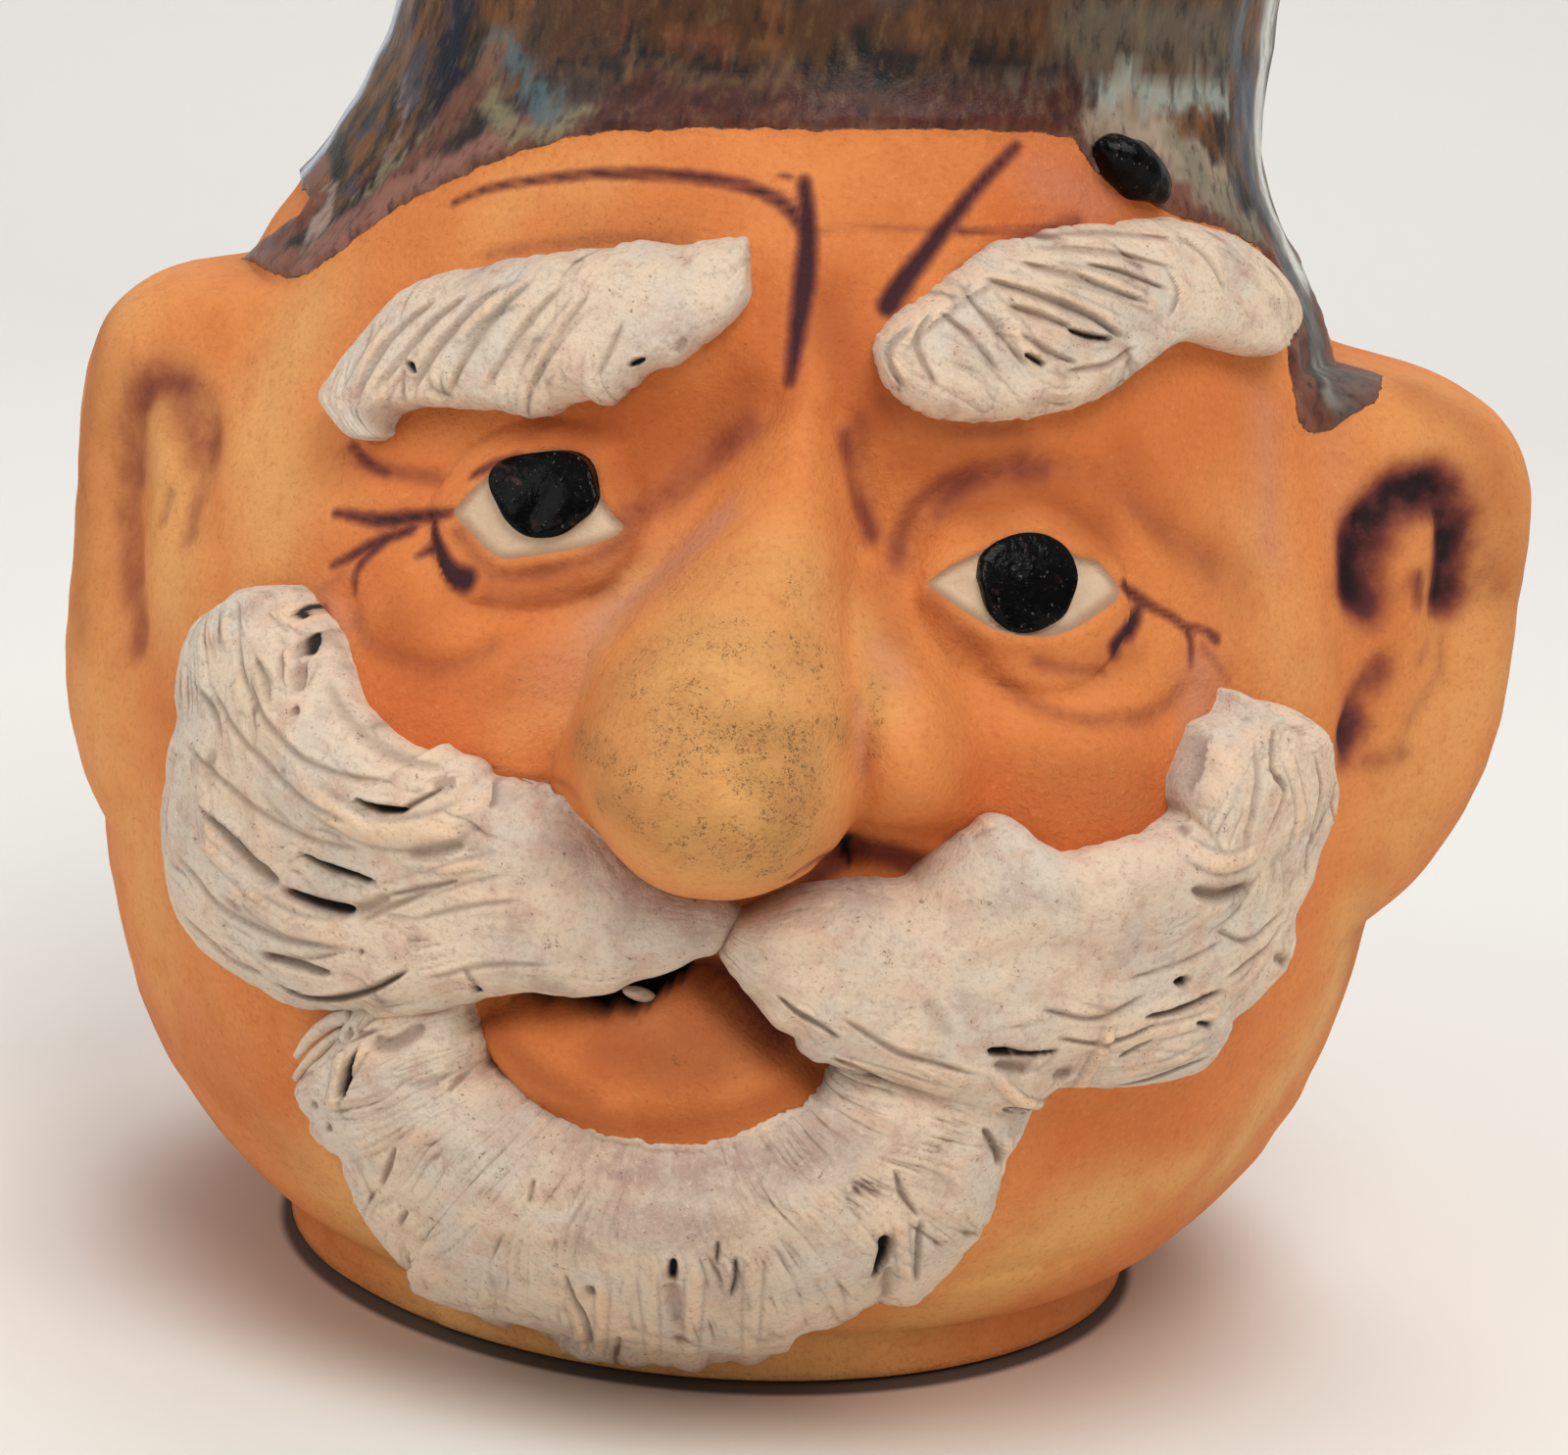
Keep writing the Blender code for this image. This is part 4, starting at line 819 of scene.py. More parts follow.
def clayMaterial():
    d = Desk("orange clay and glaze")
    mottle, cloud, fine = d.noise(3.0, 5.0), d.noise(14.0, 3.0), d.noise(0.5, 4.0, 0.65)
    wobble = d.sum("MULTIPLY", d.sum("SUBTRACT", d.noise(0.9, 3.0), 0.5), 0.5)
    color = d.mix(d.step(cloud, 0.35, 0.65), srgb(222, 136, 74), srgb(212, 124, 64))
    color = d.mix(d.amount("ochre"), color, srgb(226, 166, 100))
    # orange-red bloom, and painted shade under the brows
    color = d.mix(d.sum("MULTIPLY", d.amount("blushAndShade"), 0.8), color, srgb(204, 98, 46))
    color = d.mix(d.sum("MULTIPLY", d.step(mottle, 0.45, 0.8), 0.35), color, srgb(196, 106, 54))
    # painted sheen and shade in pale mauve
    color = d.mix(d.sum("MULTIPLY", d.amount("mauve"), 0.75), color, srgb(190, 132, 112))
    color = d.mix(d.step(fine, 0.5, 0.3, (0.0, 0.3)), color, srgb(176, 92, 48))
    color = d.mix(d.step(fine, 0.55, 0.75, (0.0, 0.3)), color, srgb(234, 164, 104))
    shade = d.sum("MULTIPLY", d.amount("shade"), d.step(cloud, 0.2, 0.6, (0.65, 0.95)))
    color = d.mix(shade, color, srgb(160, 76, 34))
    # brown stains, and painted shade in the creases and under the nose's wing
    stainAndShade = d.sum("MULTIPLY", d.amount("stainAndShade"), d.step(mottle, 0.25, 0.65, (0.7, 1.15)))
    color = d.mix(d.step(stainAndShade, 0.0, 0.55, (0.0, 0.85)), color, srgb(132, 62, 46))
    color = d.mix(d.step(stainAndShade, 0.4, 0.8, (0.0, 0.9)), color, srgb(84, 36, 38))
    color = d.mix(d.step(stainAndShade, 0.7, 1.15, (0.0, 0.95)), color, srgb(26, 10, 15))
    # grit: small dark specks here and there, crowded and olive on the nose
    specks = d.add("TexVoronoi", {"Vector": d.pulled(0.5, 0.5), "Scale": 1900.0}).outputs["Distance"]
    finest = d.add("TexVoronoi", {"Vector": d.pulled(0.3, 0.45), "Scale": 3900.0}).outputs["Distance"]
    sparse, grit = d.noise(1.5, 3.0, 0.6), d.amount("grit")
    few = d.sum("MULTIPLY", d.step(specks, 0.1, 0.24, (1.0, 0.0)), d.step(sparse, 0.66, 0.7))
    crowd = d.sum("ADD", d.noise(1.3, 4.0, 0.7), d.sum("MULTIPLY", grit, 0.18))
    many = d.sum("MULTIPLY", d.step(finest, 0.25, 0.5, (1.0, 0.0)), d.step(crowd, 0.59, 0.68))
    many = d.sum("MULTIPLY", many, d.step(grit, 0.05, 0.4))
    color = d.mix(d.sum("MULTIPLY", grit, 0.5), color, srgb(176, 128, 74))
    color = d.mix(d.sum("MULTIPLY", many, 0.72), color, srgb(78, 58, 34))
    color = d.mix(d.sum("MULTIPLY", few, 0.75), color, srgb(92, 54, 36))
    # painted shade under the moustache's edge and the nose's wing
    color = d.mix(d.amount("inside"), color, srgb(110, 46, 32))
    ink = d.sum("ADD", d.amount("ink"), d.sum("MULTIPLY", wobble, 0.6))
    color = d.mix(d.step(ink, -0.4, 0.2, (0.0, 0.85)), color, srgb(112, 50, 44))
    color = d.mix(d.step(ink, 0.02, 0.5, (0.0, 0.9)), color, srgb(46, 22, 32))
    white = d.step(d.amount("white"), -0.06, 0.1)
    eyeball = d.mix(d.step(mottle, 0.3, 0.7), srgb(216, 188, 158), srgb(200, 168, 138))
    # painted shade on the white near the lids
    eyeball = d.mix(d.step(d.amount("white"), 0.9, 0.0, (0.0, 0.75)), eyeball, srgb(150, 106, 78))
    color = d.mix(white, color, eyeball)
    # painted shade, near black, in the mouth's gap and the nostril
    color = d.mix(d.amount("dark"), color, srgb(8, 6, 6))

    # glaze: painted in front, by its distance from the edge and its streaks all round
    edge = d.amount("glaze")
    streak = d.noise(2.2, 5.0, 0.6, (1.0, 1.0, 0.22))
    patch = d.noise(9.0, 4.0, 0.6)
    brown = d.mix(d.step(streak, 0.35, 0.62), srgb(34, 24, 20), srgb(112, 72, 40))
    brown = d.mix(d.step(patch, 0.52, 0.68), brown, srgb(50, 62, 80))
    mauve = d.mix(d.step(mottle, 0.35, 0.65), srgb(98, 54, 42), srgb(126, 80, 64))
    band = d.sum("ADD", edge, d.sum("MULTIPLY", d.sum("SUBTRACT", patch, 0.5), 5.0))
    glaze = d.mix(d.step(band, 2.2, 3.2), mauve, srgb(34, 26, 26))
    glaze = d.mix(d.step(band, 4.0, 5.2), glaze, brown)
    painted = d.add("Attribute", attribute_name="paint").outputs
    glaze = d.mix(painted["Alpha"], glaze, painted["Color"])
    broken = d.noise(1.1, 5.0, 0.65, (1.0, 1.0, 0.45))
    glaze = d.mix(d.step(broken, 0.5, 0.72, (0.0, 0.4)), glaze, d.mix(0.5, glaze, srgb(150, 118, 84)))
    glaze = d.mix(d.step(broken, 0.5, 0.32, (0.0, 0.7)), glaze, d.mix(0.8, glaze, srgb(18, 14, 16)))
    dry = d.step(d.sum("ADD", edge, wobble), -0.08, 0.08)
    color = d.mix(dry, color, glaze)
    pupil = d.step(d.amount("pupil"), -0.03, 0.05)
    color = d.mix(pupil, color, srgb(10, 9, 10))
    d.put(d.shader.inputs["Base Color"], color)
    rough = d.step(mottle, 0.2, 0.8, (0.64, 0.82))
    rough = d.sum("ADD", rough, d.sum("MULTIPLY", dry, -0.36))
    d.put(d.shader.inputs["Roughness"], rough)
    d.shader.inputs["Specular IOR Level"].default_value = 0.22
    matte = d.sum("SUBTRACT", 1.0, d.sum("MULTIPLY", dry, 0.6))
    pitted = d.sum("MULTIPLY", d.sum("MULTIPLY", fine, matte),
                   d.sum("ADD", 1.0, d.sum("MULTIPLY", grit, 1.6)))
    d.put(d.shader.inputs["Normal"], d.bump(pitted, 0.22, d.bump(d.sum("MULTIPLY", mottle, matte), 0.22)))
    return d.material


print("shaping the body")
bodyMesh = turnBody(body)
shapeBody(bodyMesh, body)
clay = clayMaterial()
addPiece("mug_body", bodyMesh, clay, ("mug",))
print("body done,", len(bodyMesh.polygons), "faces")

# Handle: a flattened loop at the back
handle = {"width": 15.0, "depth": 9.0, "reach": 31.0, "top": 83.0, "foot": 30.0, "stations": 96, "round": 40}


def makeHandle(h):
    top, foot = float(potRadius(h["top"])) - 2.5, float(potRadius(h["foot"])) - 2.5
    outmost = pot["bellyRadius"] + h["reach"] - 0.5 * h["depth"]
    tall = h["top"] - h["foot"]
    route = spread([(top, h["top"]), (top + 0.45 * (outmost - top), h["top"] + 0.06 * tall),
                    (outmost - 0.12 * h["reach"], h["top"] - 0.1 * tall), (outmost, h["top"] - 0.38 * tall),
                    (outmost - 0.15 * h["reach"], h["top"] - 0.7 * tall),
                    (outmost - 0.5 * h["reach"], h["foot"] + 0.06 * tall),
                    (foot, h["foot"] - 0.04 * tall)], h["stations"])
    shape = bmesh.new()
    rings = makeTube(shape, h["round"], h["stations"])
    along = np.gradient(route, axis=0)
    along = along / np.linalg.norm(along, axis=1, keepdims=True)
    # the lower end turns square to the wall
    along[-6:] += ((-1.0, 0.0) - along[-6:]) * np.linspace(0.15, 1.0, 6)[:, None]
    along = along / np.linalg.norm(along, axis=1, keepdims=True)
    for station, (corners, middle, way) in enumerate(zip(rings, route, along)):
        share = station / (h["stations"] - 1)
        swell = (1.0 + 0.25 * math.cos(2.0 * math.pi * share)
                 + 0.22 * math.exp(-share / 0.035) + 0.22 * math.exp((share - 1.0) / 0.035))
        for corner in corners:
            side, out = corner.co.x, corner.co.y
            out = out * (1.0 + 0.10 * (1.0 - side * side)) - 0.12 * (1.0 - side * side) * (out > 0)
            across = 0.5 * h["depth"] * swell * out
            corner.co = Vector((0.5 * h["width"] * swell * side + float(leanShift(middle[1])),
                                middle[0] - way[1] * across, middle[1] + way[0] * across)) * mm
    closeTube(shape, rings)
    bmesh.ops.recalc_face_normals(shape, faces=shape.faces)
    mesh = meshOf("handle", shape)
    places = readPlaces(mesh) / mm
    storeAmount(mesh, "glaze", places[:, 2] - 48.0 + 5.0 * wander(places, 16.0, 21))
    for name, value in (("ink", -9.0), ("white", -9.0), ("pupil", -9.0)):
        storeAmount(mesh, name, np.full(len(places), value))
    layer = mesh.attributes.new("paint", "FLOAT_COLOR", "POINT")
    layer.data.foreach_set("color", np.zeros(4 * len(places), np.float32))
    return mesh


handleMesh = makeHandle(handle)
addPiece("handle", handleMesh, clay, ("mug",))
print("handle done")

# White clay, drawn in pixels of the picture: two long edges, then how the strands lie. "grain" is the
# strands' turn from the long way in degrees; "calm" places have few strands; cuts are pixels, half widths
# in mm at the start, middle and end, depth in mm and darkness of the painted shadow in them; ridges are
# pixels, half width and rise, with painted shade along their sides; steps are pixels, rise and reach,
# higher on their left, with painted shade below them; tonesAndShade are darker patches, painted shade with
# some greyer clay, as pixels, radius and amount; wisps are thin strands that leave the sheet, as pixels,
# half widths and distance from the face
hair = {
    "brow_left": {
        "near": [(764, 300), (758, 313), (732, 340), (690, 371), (659, 382), (622, 411), (607, 414),
            (596, 408), (554, 429), (528, 429), (502, 421), (476, 421), (434, 417), (398, 421), (382, 429),
            (379, 445), (370, 452)],
        "far": [(764, 256), (761, 242), (748, 242), (716, 246), (690, 251), (643, 247), (601, 254),
            (554, 259), (487, 270), (424, 288), (382, 330), (356, 371), (340, 397), (350, 425), (360, 448)],
        "thick": 4.0, "stands": (0.6, 0.3), "grid": (104, 300), "grain": -42.0, "seed": 11, "folds": 0.26,
        "fine": 0.16, "fringe": (0.4, 0.3), "calm": [((690, 310), 90, 0.6)],
        "cuts": [([(416, 370), (425, 379)], (0.16, 0.22, 0.16), 0.9, 1.0),
            ([(642, 373), (658, 366)], (0.12, 0.2, 0.12), 0.7, 0.9),
            ([(635, 330), (610, 385)], (0.15, 0.25, 0.15), 0.3, 0.25),
            ([(478, 300), (430, 340), (385, 400)], (0.2, 0.35, 0.25), 0.5, 0.3),
            ([(510, 292), (455, 345), (420, 400)], (0.2, 0.3, 0.25), 0.5, 0.3),
            ([(545, 285), (490, 340), (455, 405)], (0.2, 0.35, 0.2), 0.5, 0.3),
            ([(575, 290), (530, 340), (495, 400)], (0.2, 0.3, 0.2), 0.4, 0.25),
            ([(445, 305), (400, 345), (362, 410)], (0.2, 0.3, 0.2), 0.45, 0.3),
            ([(600, 300), (570, 345), (540, 400)], (0.15, 0.28, 0.15), 0.35, 0.2),
            ([(700, 345), (690, 360)], (0.2, 0.3, 0.2), 0.25, 0.3)],
        "ridges": [([(460, 350), (490, 318), (540, 295)], 0.8, 0.4),
            ([(400, 330), (372, 370), (352, 410)], 0.6, 0.25),
            ([(430, 345), (400, 385), (385, 415)], 0.6, 0.25),
            ([(600, 300), (560, 350), (530, 400)], 0.7, 0.2)],
        "steps": []},
    "brow_right": {
        "near": [(895, 362), (905, 392), (924, 413), (951, 427), (983, 435), (1031, 435), (1063, 429),
            (1100, 421), (1137, 405), (1164, 381), (1191, 360), (1212, 352), (1244, 355), (1271, 363),
            (1297, 366), (1310, 350)],
        "far": [(897, 344), (924, 317), (956, 296), (993, 269), (1020, 248), (1057, 243), (1100, 233),
            (1148, 229), (1191, 222), (1223, 227), (1255, 240), (1287, 264), (1305, 296), (1314, 326)],
        "thick": 4.0, "stands": (0.6, 0.3), "grid": (104, 300), "grain": -26.0, "seed": 12, "folds": 0.24,
        "fine": 0.16, "fringe": (0.25, 0.3), "calm": [((1240, 315), 85, 0.7), ((950, 385), 60, 0.3)],
        "cuts": [([(1005, 286), (1060, 303), (1110, 322), (1150, 348)], (0.2, 0.32, 0.15), 0.65, 0.35),
            ([(1030, 312), (1080, 330), (1092, 336)], (0.15, 0.3, 0.15), 0.6, 0.35),
            ([(1090, 337), (1112, 344), (1135, 347)], (0.14, 0.22, 0.12), 0.9, 0.8),
            ([(1045, 361), (1055, 367), (1065, 373)], (0.15, 0.2, 0.15), 0.8, 0.8),
            ([(930, 330), (905, 362), (925, 400)], (0.15, 0.25, 0.15), 0.4, 0.35),
            ([(950, 318), (935, 350), (955, 395)], (0.15, 0.25, 0.15), 0.35, 0.3),
            ([(1090, 380), (1130, 372), (1160, 355)], (0.15, 0.25, 0.15), 0.35, 0.35),
            ([(1200, 240), (1230, 262), (1250, 300)], (0.15, 0.25, 0.15), 0.3, 0.3),
            ([(1040, 268), (1100, 285), (1170, 310)], (0.15, 0.3, 0.12), 0.5, 0.35),
            ([(1050, 252), (1130, 258), (1200, 275)], (0.12, 0.22, 0.12), 0.35, 0.3),
            ([(1040, 340), (1070, 360), (1100, 372)], (0.15, 0.26, 0.12), 0.45, 0.35),
            ([(960, 320), (990, 345), (1020, 380)], (0.15, 0.25, 0.15), 0.4, 0.3),
            ([(1060, 240), (1130, 238), (1200, 245)], (0.1, 0.18, 0.1), 0.35, 0.35),
            ([(1110, 270), (1150, 280), (1190, 296)], (0.1, 0.2, 0.1), 0.5, 0.5),
            ([(985, 300), (1010, 330), (1045, 372)], (0.12, 0.22, 0.12), 0.4, 0.35)],
        "ridges": [([(905, 360), (930, 325), (975, 290), (1020, 262)], 0.9, 0.35),
            ([(1060, 295), (1110, 315), (1160, 340)], 0.5, 0.3),
            ([(1070, 275), (1130, 290), (1190, 318)], 0.6, 0.3),
            ([(1000, 300), (1040, 340), (1060, 380)], 0.7, 0.3)],
        "steps": [([(1185, 262), (1200, 300), (1190, 335)], 0.25, 1.2)]},
    "moustache_left": {
        "near": [(746, 958), (728, 979), (709, 982), (690, 992), (667, 1002), (644, 1007), (621, 1017),
            (590, 1021), (540, 1020), (495, 1022), (478, 1029), (460, 1032), (431, 1043), (405, 1047),
            (379, 1049), (362, 1040), (333, 1036), (305, 1034), (280, 1028), (256, 1014), (231, 1002),
            (201, 977), (181, 951), (168, 918), (165, 881), (163, 850), (169, 805), (176, 771), (183, 745),
            (186, 690), (191, 666), (207, 638), (223, 626), (230, 604)],
        "far": [(756, 930), (733, 905), (700, 895), (670, 880), (640, 855), (610, 825), (590, 806),
            (575, 803), (563, 798), (541, 799), (524, 794), (504, 792), (494, 779), (480, 771), (469, 769),
            (457, 759), (449, 760), (439, 766), (422, 762), (405, 752), (391, 738), (369, 717), (362, 695),
            (353, 673), (340, 643), (322, 621), (305, 600), (290, 597), (262, 598)],
        "thick": 5.5, "stands": (0.54, 0.15), "grid": (128, 430), "grain": 0.0, "seed": 13, "folds": 0.3,
        "fine": 0.17, "fringe": (0.25, 0.2),
        "calm": [((575, 935), 120, 0.8), ((660, 935), 90, 0.75), ((430, 840), 50, 0.3)],
        "cuts": [([(315, 648), (313, 670)], (0.28, 0.36, 0.3), 1.6, 1.0),
            ([(302, 616), (312, 632)], (0.08, 0.12, 0.08), 0.6, 0.9),
            ([(305, 676), (304, 708)], (0.3, 0.35, 0.25), 0.6, 0.45),
            ([(300, 721), (301, 731)], (0.2, 0.3, 0.2), 0.5, 0.5),
            ([(257, 671), (269, 697), (273, 717)], (0.2, 0.35, 0.25), 0.4, 0.35),
            ([(286, 666), (287, 695)], (0.15, 0.25, 0.15), 0.3, 0.35),
            ([(202, 702), (219, 728), (226, 754)], (0.2, 0.35, 0.2), 0.4, 0.35),
            ([(362, 817), (385, 826), (413, 828)], (0.12, 0.26, 0.2), 1.4, 1.0),
            ([(411, 827), (427, 818), (450, 806)], (0.2, 0.14, 0.1), 0.5, 0.6),
            ([(440, 805), (465, 798)], (0.3, 0.5, 0.3), 0.4, 0.4),
            ([(414, 871), (440, 868), (474, 862)], (0.3, 0.5, 0.3), 0.5, 0.4),
            ([(305, 871), (334, 885), (354, 891), (382, 900)], (0.12, 0.26, 0.16), 1.0, 1.0),
            ([(396, 913), (422, 909), (453, 902), (470, 897)], (0.12, 0.22, 0.12), 0.4, 0.45),
            ([(365, 942), (400, 925), (440, 910)], (0.15, 0.25, 0.15), 0.4, 0.35),
            ([(205, 826), (236, 857), (256, 879), (283, 903)], (0.2, 0.4, 0.4), 1.1, 0.6),
            ([(288, 907), (323, 922), (358, 931)], (0.2, 0.34, 0.36), 1.6, 1.0),
            ([(360, 930), (380, 925), (398, 914)], (0.4, 0.45, 0.3), 0.5, 0.4),
            ([(366, 971), (370, 973)], (0.2, 0.22, 0.2), 0.4, 0.5),
            ([(264, 973), (293, 981), (336, 994)], (0.2, 0.36, 0.25), 0.8, 0.6),
            ([(281, 1002), (305, 1016), (334, 1020), (374, 1012), (405, 997), (415, 990)],
             (0.12, 0.25, 0.15), 0.8, 0.65),
            ([(484, 1006), (488, 1013)], (0.15, 0.2, 0.15), 0.6, 0.8),
            ([(190, 760), (230, 800), (300, 850), (370, 868)], (0.2, 0.3, 0.2), 0.35, 0.25),
            ([(215, 700), (250, 760), (310, 815), (360, 840)], (0.2, 0.3, 0.2), 0.35, 0.25),
            ([(180, 870), (220, 920), (280, 955), (350, 968)], (0.2, 0.32, 0.2), 0.4, 0.3),
            ([(240, 640), (250, 700), (290, 760), (340, 790), (400, 800)], (0.2, 0.3, 0.2), 0.35, 0.25),
            ([(330, 690), (360, 740), (410, 775), (460, 785)], (0.2, 0.28, 0.2), 0.35, 0.3),
            ([(185, 930), (230, 975), (270, 995)], (0.2, 0.28, 0.15), 0.4, 0.3),
            ([(420, 940), (480, 925), (530, 920)], (0.15, 0.25, 0.15), 0.25, 0.2),
            ([(430, 1000), (500, 985), (560, 985)], (0.15, 0.25, 0.15), 0.25, 0.2)],
        "ridges": [([(285, 617), (298, 626), (312, 640)], 0.45, 0.45),
            ([(296, 650), (297, 690), (300, 715)], 0.3, 0.25),
            ([(300, 800), (370, 845), (430, 850), (500, 825)], 1.0, 0.35),
            ([(430, 905), (470, 890), (520, 880)], 0.7, 0.2),
            ([(240, 905), (300, 945), (370, 955)], 0.9, 0.3),
            ([(200, 850), (240, 890), (285, 925)], 0.6, 0.25),
            ([(400, 880), (450, 885), (500, 880)], 0.4, 0.2)],
        "steps": [([(500, 832), (503, 790)], 0.4, 1.5), ([(488, 1012), (470, 985)], 0.25, 1.2)],
        "tonesAndShade": [([(570, 860), (625, 885), (680, 925), (715, 945)], 1.9, 0.85),
            ([(520, 812), (585, 832)], 1.2, 0.5), ([(200, 790), (190, 850)], 1.0, 0.3),
            ([(290, 905), (350, 920)], 0.8, 0.4), ([(640, 985), (700, 970)], 0.8, 0.3)]},
    "moustache_right": {
        "near": [(740, 962), (731, 982), (741, 998), (751, 1012), (767, 1033), (782, 1050), (791, 1058),
            (812, 1069), (818, 1082), (831, 1093), (850, 1098), (900, 1112), (960, 1138), (1010, 1152),
            (1057, 1151), (1094, 1124), (1144, 1122), (1190, 1119), (1227, 1111), (1246, 1097),
            (1260, 1077), (1260, 1066), (1288, 1041), (1316, 1013), (1328, 985), (1328, 959), (1336, 942),
            (1344, 914), (1353, 881), (1367, 844), (1368, 797), (1363, 771), (1353, 757)],
        "far": [(746, 932), (768, 923), (800, 910), (820, 904), (845, 900), (868, 897), (896, 897),
            (912, 897), (926, 893), (938, 886), (951, 873), (975, 855), (994, 842), (1003, 835),
            (1016, 830), (1032, 835), (1051, 850), (1068, 861), (1086, 869), (1101, 868), (1133, 861),
            (1162, 853), (1190, 836), (1199, 825), (1196, 811), (1199, 788), (1215, 752), (1224, 738),
            (1246, 726), (1255, 704), (1271, 714), (1300, 717), (1322, 738)],
        "thick": 5.5, "stands": (0.75, 0.15), "grid": (128, 430), "grain": 0.0, "seed": 14, "folds": 0.25,
        "fine": 0.17, "fringe": (0.25, 0.2),
        "calm": [((900, 985), 100, 0.7), ((1040, 930), 140, 0.8), ((1140, 920), 80, 0.6),
            ((800, 960), 60, 0.5)],
        "cuts": [([(794, 1017), (812, 1032), (838, 1047), (857, 1060)], (0.1, 0.22, 0.12), 0.5, 0.5),
            ([(849, 1079), (868, 1086), (886, 1095), (910, 1108)], (0.1, 0.22, 0.12), 0.5, 0.5),
            ([(898, 1105), (929, 1117), (961, 1130)], (0.15, 0.26, 0.15), 0.9, 0.75),
            ([(942, 1020), (956, 1040), (970, 1060)], (0.3, 0.6, 0.3), 0.2, 0.15),
            ([(1010, 1073), (1036, 1075)], (0.22, 0.3, 0.25), 1.6, 1.0),
            ([(1034, 1075), (1056, 1076), (1080, 1073)], (0.2, 0.16, 0.1), 0.8, 0.9),
            ([(1015, 1086), (1050, 1092)], (0.35, 0.5, 0.35), 0.6, 0.45),
            ([(1075, 1097), (1095, 1094)], (0.35, 0.5, 0.35), 0.6, 0.45),
            ([(1024, 1132), (1055, 1136)], (0.2, 0.3, 0.2), 0.7, 0.7),
            ([(1201, 1003), (1213, 1001)], (0.25, 0.32, 0.25), 1.5, 1.0),
            ([(1168, 1038), (1199, 1032), (1232, 1018), (1246, 1012)], (0.12, 0.26, 0.16), 0.9, 0.75),
            ([(1220, 1043), (1236, 1046)], (0.15, 0.2, 0.15), 0.6, 0.8),
            ([(1142, 1080), (1176, 1060)], (0.12, 0.2, 0.12), 0.5, 0.45),
            ([(1128, 1111), (1176, 1100), (1232, 1078)], (0.12, 0.22, 0.12), 0.6, 0.5),
            ([(1218, 909), (1246, 914), (1277, 903)], (0.35, 0.5, 0.3), 0.8, 0.5),
            ([(1300, 749), (1300, 788), (1311, 805), (1303, 830), (1291, 858)], (0.15, 0.24, 0.15), 0.6,
             0.45),
            ([(1342, 769), (1347, 816), (1336, 858), (1328, 900)], (0.12, 0.2, 0.12), 0.5, 0.4),
            ([(1356, 802), (1352, 850), (1340, 900)], (0.1, 0.16, 0.1), 0.4, 0.35),
            ([(1318, 948), (1326, 954)], (0.3, 0.35, 0.3), 0.5, 0.45),
            ([(1300, 976), (1310, 982)], (0.3, 0.35, 0.3), 0.5, 0.45),
            ([(1205, 842), (1214, 852)], (0.3, 0.4, 0.3), 0.5, 0.5),
            ([(1240, 950), (1275, 960), (1310, 930)], (0.15, 0.25, 0.15), 0.35, 0.3),
            ([(1150, 1000), (1200, 985), (1250, 960)], (0.15, 0.25, 0.15), 0.3, 0.25),
            ([(1060, 1030), (1120, 1040), (1170, 1015)], (0.15, 0.25, 0.15), 0.4, 0.35),
            ([(1080, 1060), (1130, 1065), (1180, 1045)], (0.12, 0.22, 0.12), 0.45, 0.4),
            ([(1250, 1000), (1290, 970), (1310, 940)], (0.12, 0.22, 0.12), 0.4, 0.35),
            ([(860, 1040), (920, 1075), (990, 1095)], (0.15, 0.25, 0.15), 0.35, 0.3),
            ([(1270, 870), (1285, 800), (1280, 760)], (0.2, 0.3, 0.2), 0.35, 0.3)],
        "ridges": [([(980, 850), (996, 838), (1012, 832)], 0.4, 0.3),
            ([(1010, 1090), (1030, 1115), (1055, 1128), (1090, 1118), (1110, 1090), (1130, 1055),
              (1132, 1030)],
             0.45, 0.8),
            ([(1234, 1031), (1238, 1033)], 0.6, 0.6),
            ([(1205, 862), (1240, 880), (1265, 878), (1290, 865)], 0.7, 0.35),
            ([(1310, 760), (1325, 820), (1318, 880)], 0.5, 0.25),
            ([(1150, 1060), (1200, 1050), (1250, 1030)], 0.5, 0.25),
            ([(1140, 1095), (1190, 1085), (1240, 1060)], 0.5, 0.25),
            ([(830, 1075), (900, 1095), (980, 1120)], 0.5, 0.2)],
        "steps": [([(1241, 738), (1229, 774), (1224, 797), (1204, 822)], 0.4, 1.6)],
        "tonesAndShade": [([(775, 935), (830, 912), (890, 905)], 1.4, 0.65), ([(765, 960), (790, 1010)], 1.3, 0.4),
            ([(1010, 1060), (1060, 1086), (1120, 1085)], 1.1, 0.45), ([(1214, 765), (1212, 815)], 1.0, 0.7),
            ([(1235, 905), (1270, 905)], 0.9, 0.4), ([(1180, 900), (1150, 960)], 2.0, 0.25)]},
    "beard": {
        "near": [(470, 1022), (482, 1049), (490, 1057), (496, 1078), (494, 1087), (510, 1095), (531, 1110),
            (543, 1122), (571, 1138), (618, 1153), (658, 1159), (697, 1162), (737, 1156), (761, 1147),
            (793, 1132), (820, 1123), (837, 1115), (850, 1103), (862, 1084)],
        "far": [(350, 1024), (335, 1066), (312, 1090), (299, 1111), (303, 1127), (314, 1142), (320, 1162),
            (337, 1176), (349, 1184), (354, 1204), (361, 1219), (372, 1242), (384, 1262), (400, 1280),
            (420, 1300), (449, 1328), (460, 1339), (476, 1345), (507, 1360), (525, 1354), (539, 1360),
            (559, 1374), (579, 1386), (598, 1394), (638, 1399), (683, 1402), (697, 1406), (713, 1406),
            (727, 1398), (743, 1398), (760, 1400), (771, 1397), (782, 1391), (803, 1378), (822, 1364),
            (845, 1360), (866, 1351), (887, 1338), (904, 1334), (923, 1336), (940, 1332), (955, 1317),
            (982, 1290), (1003, 1265), (1016, 1237), (1024, 1212), (1030, 1185), (1043, 1172), (1054, 1150),
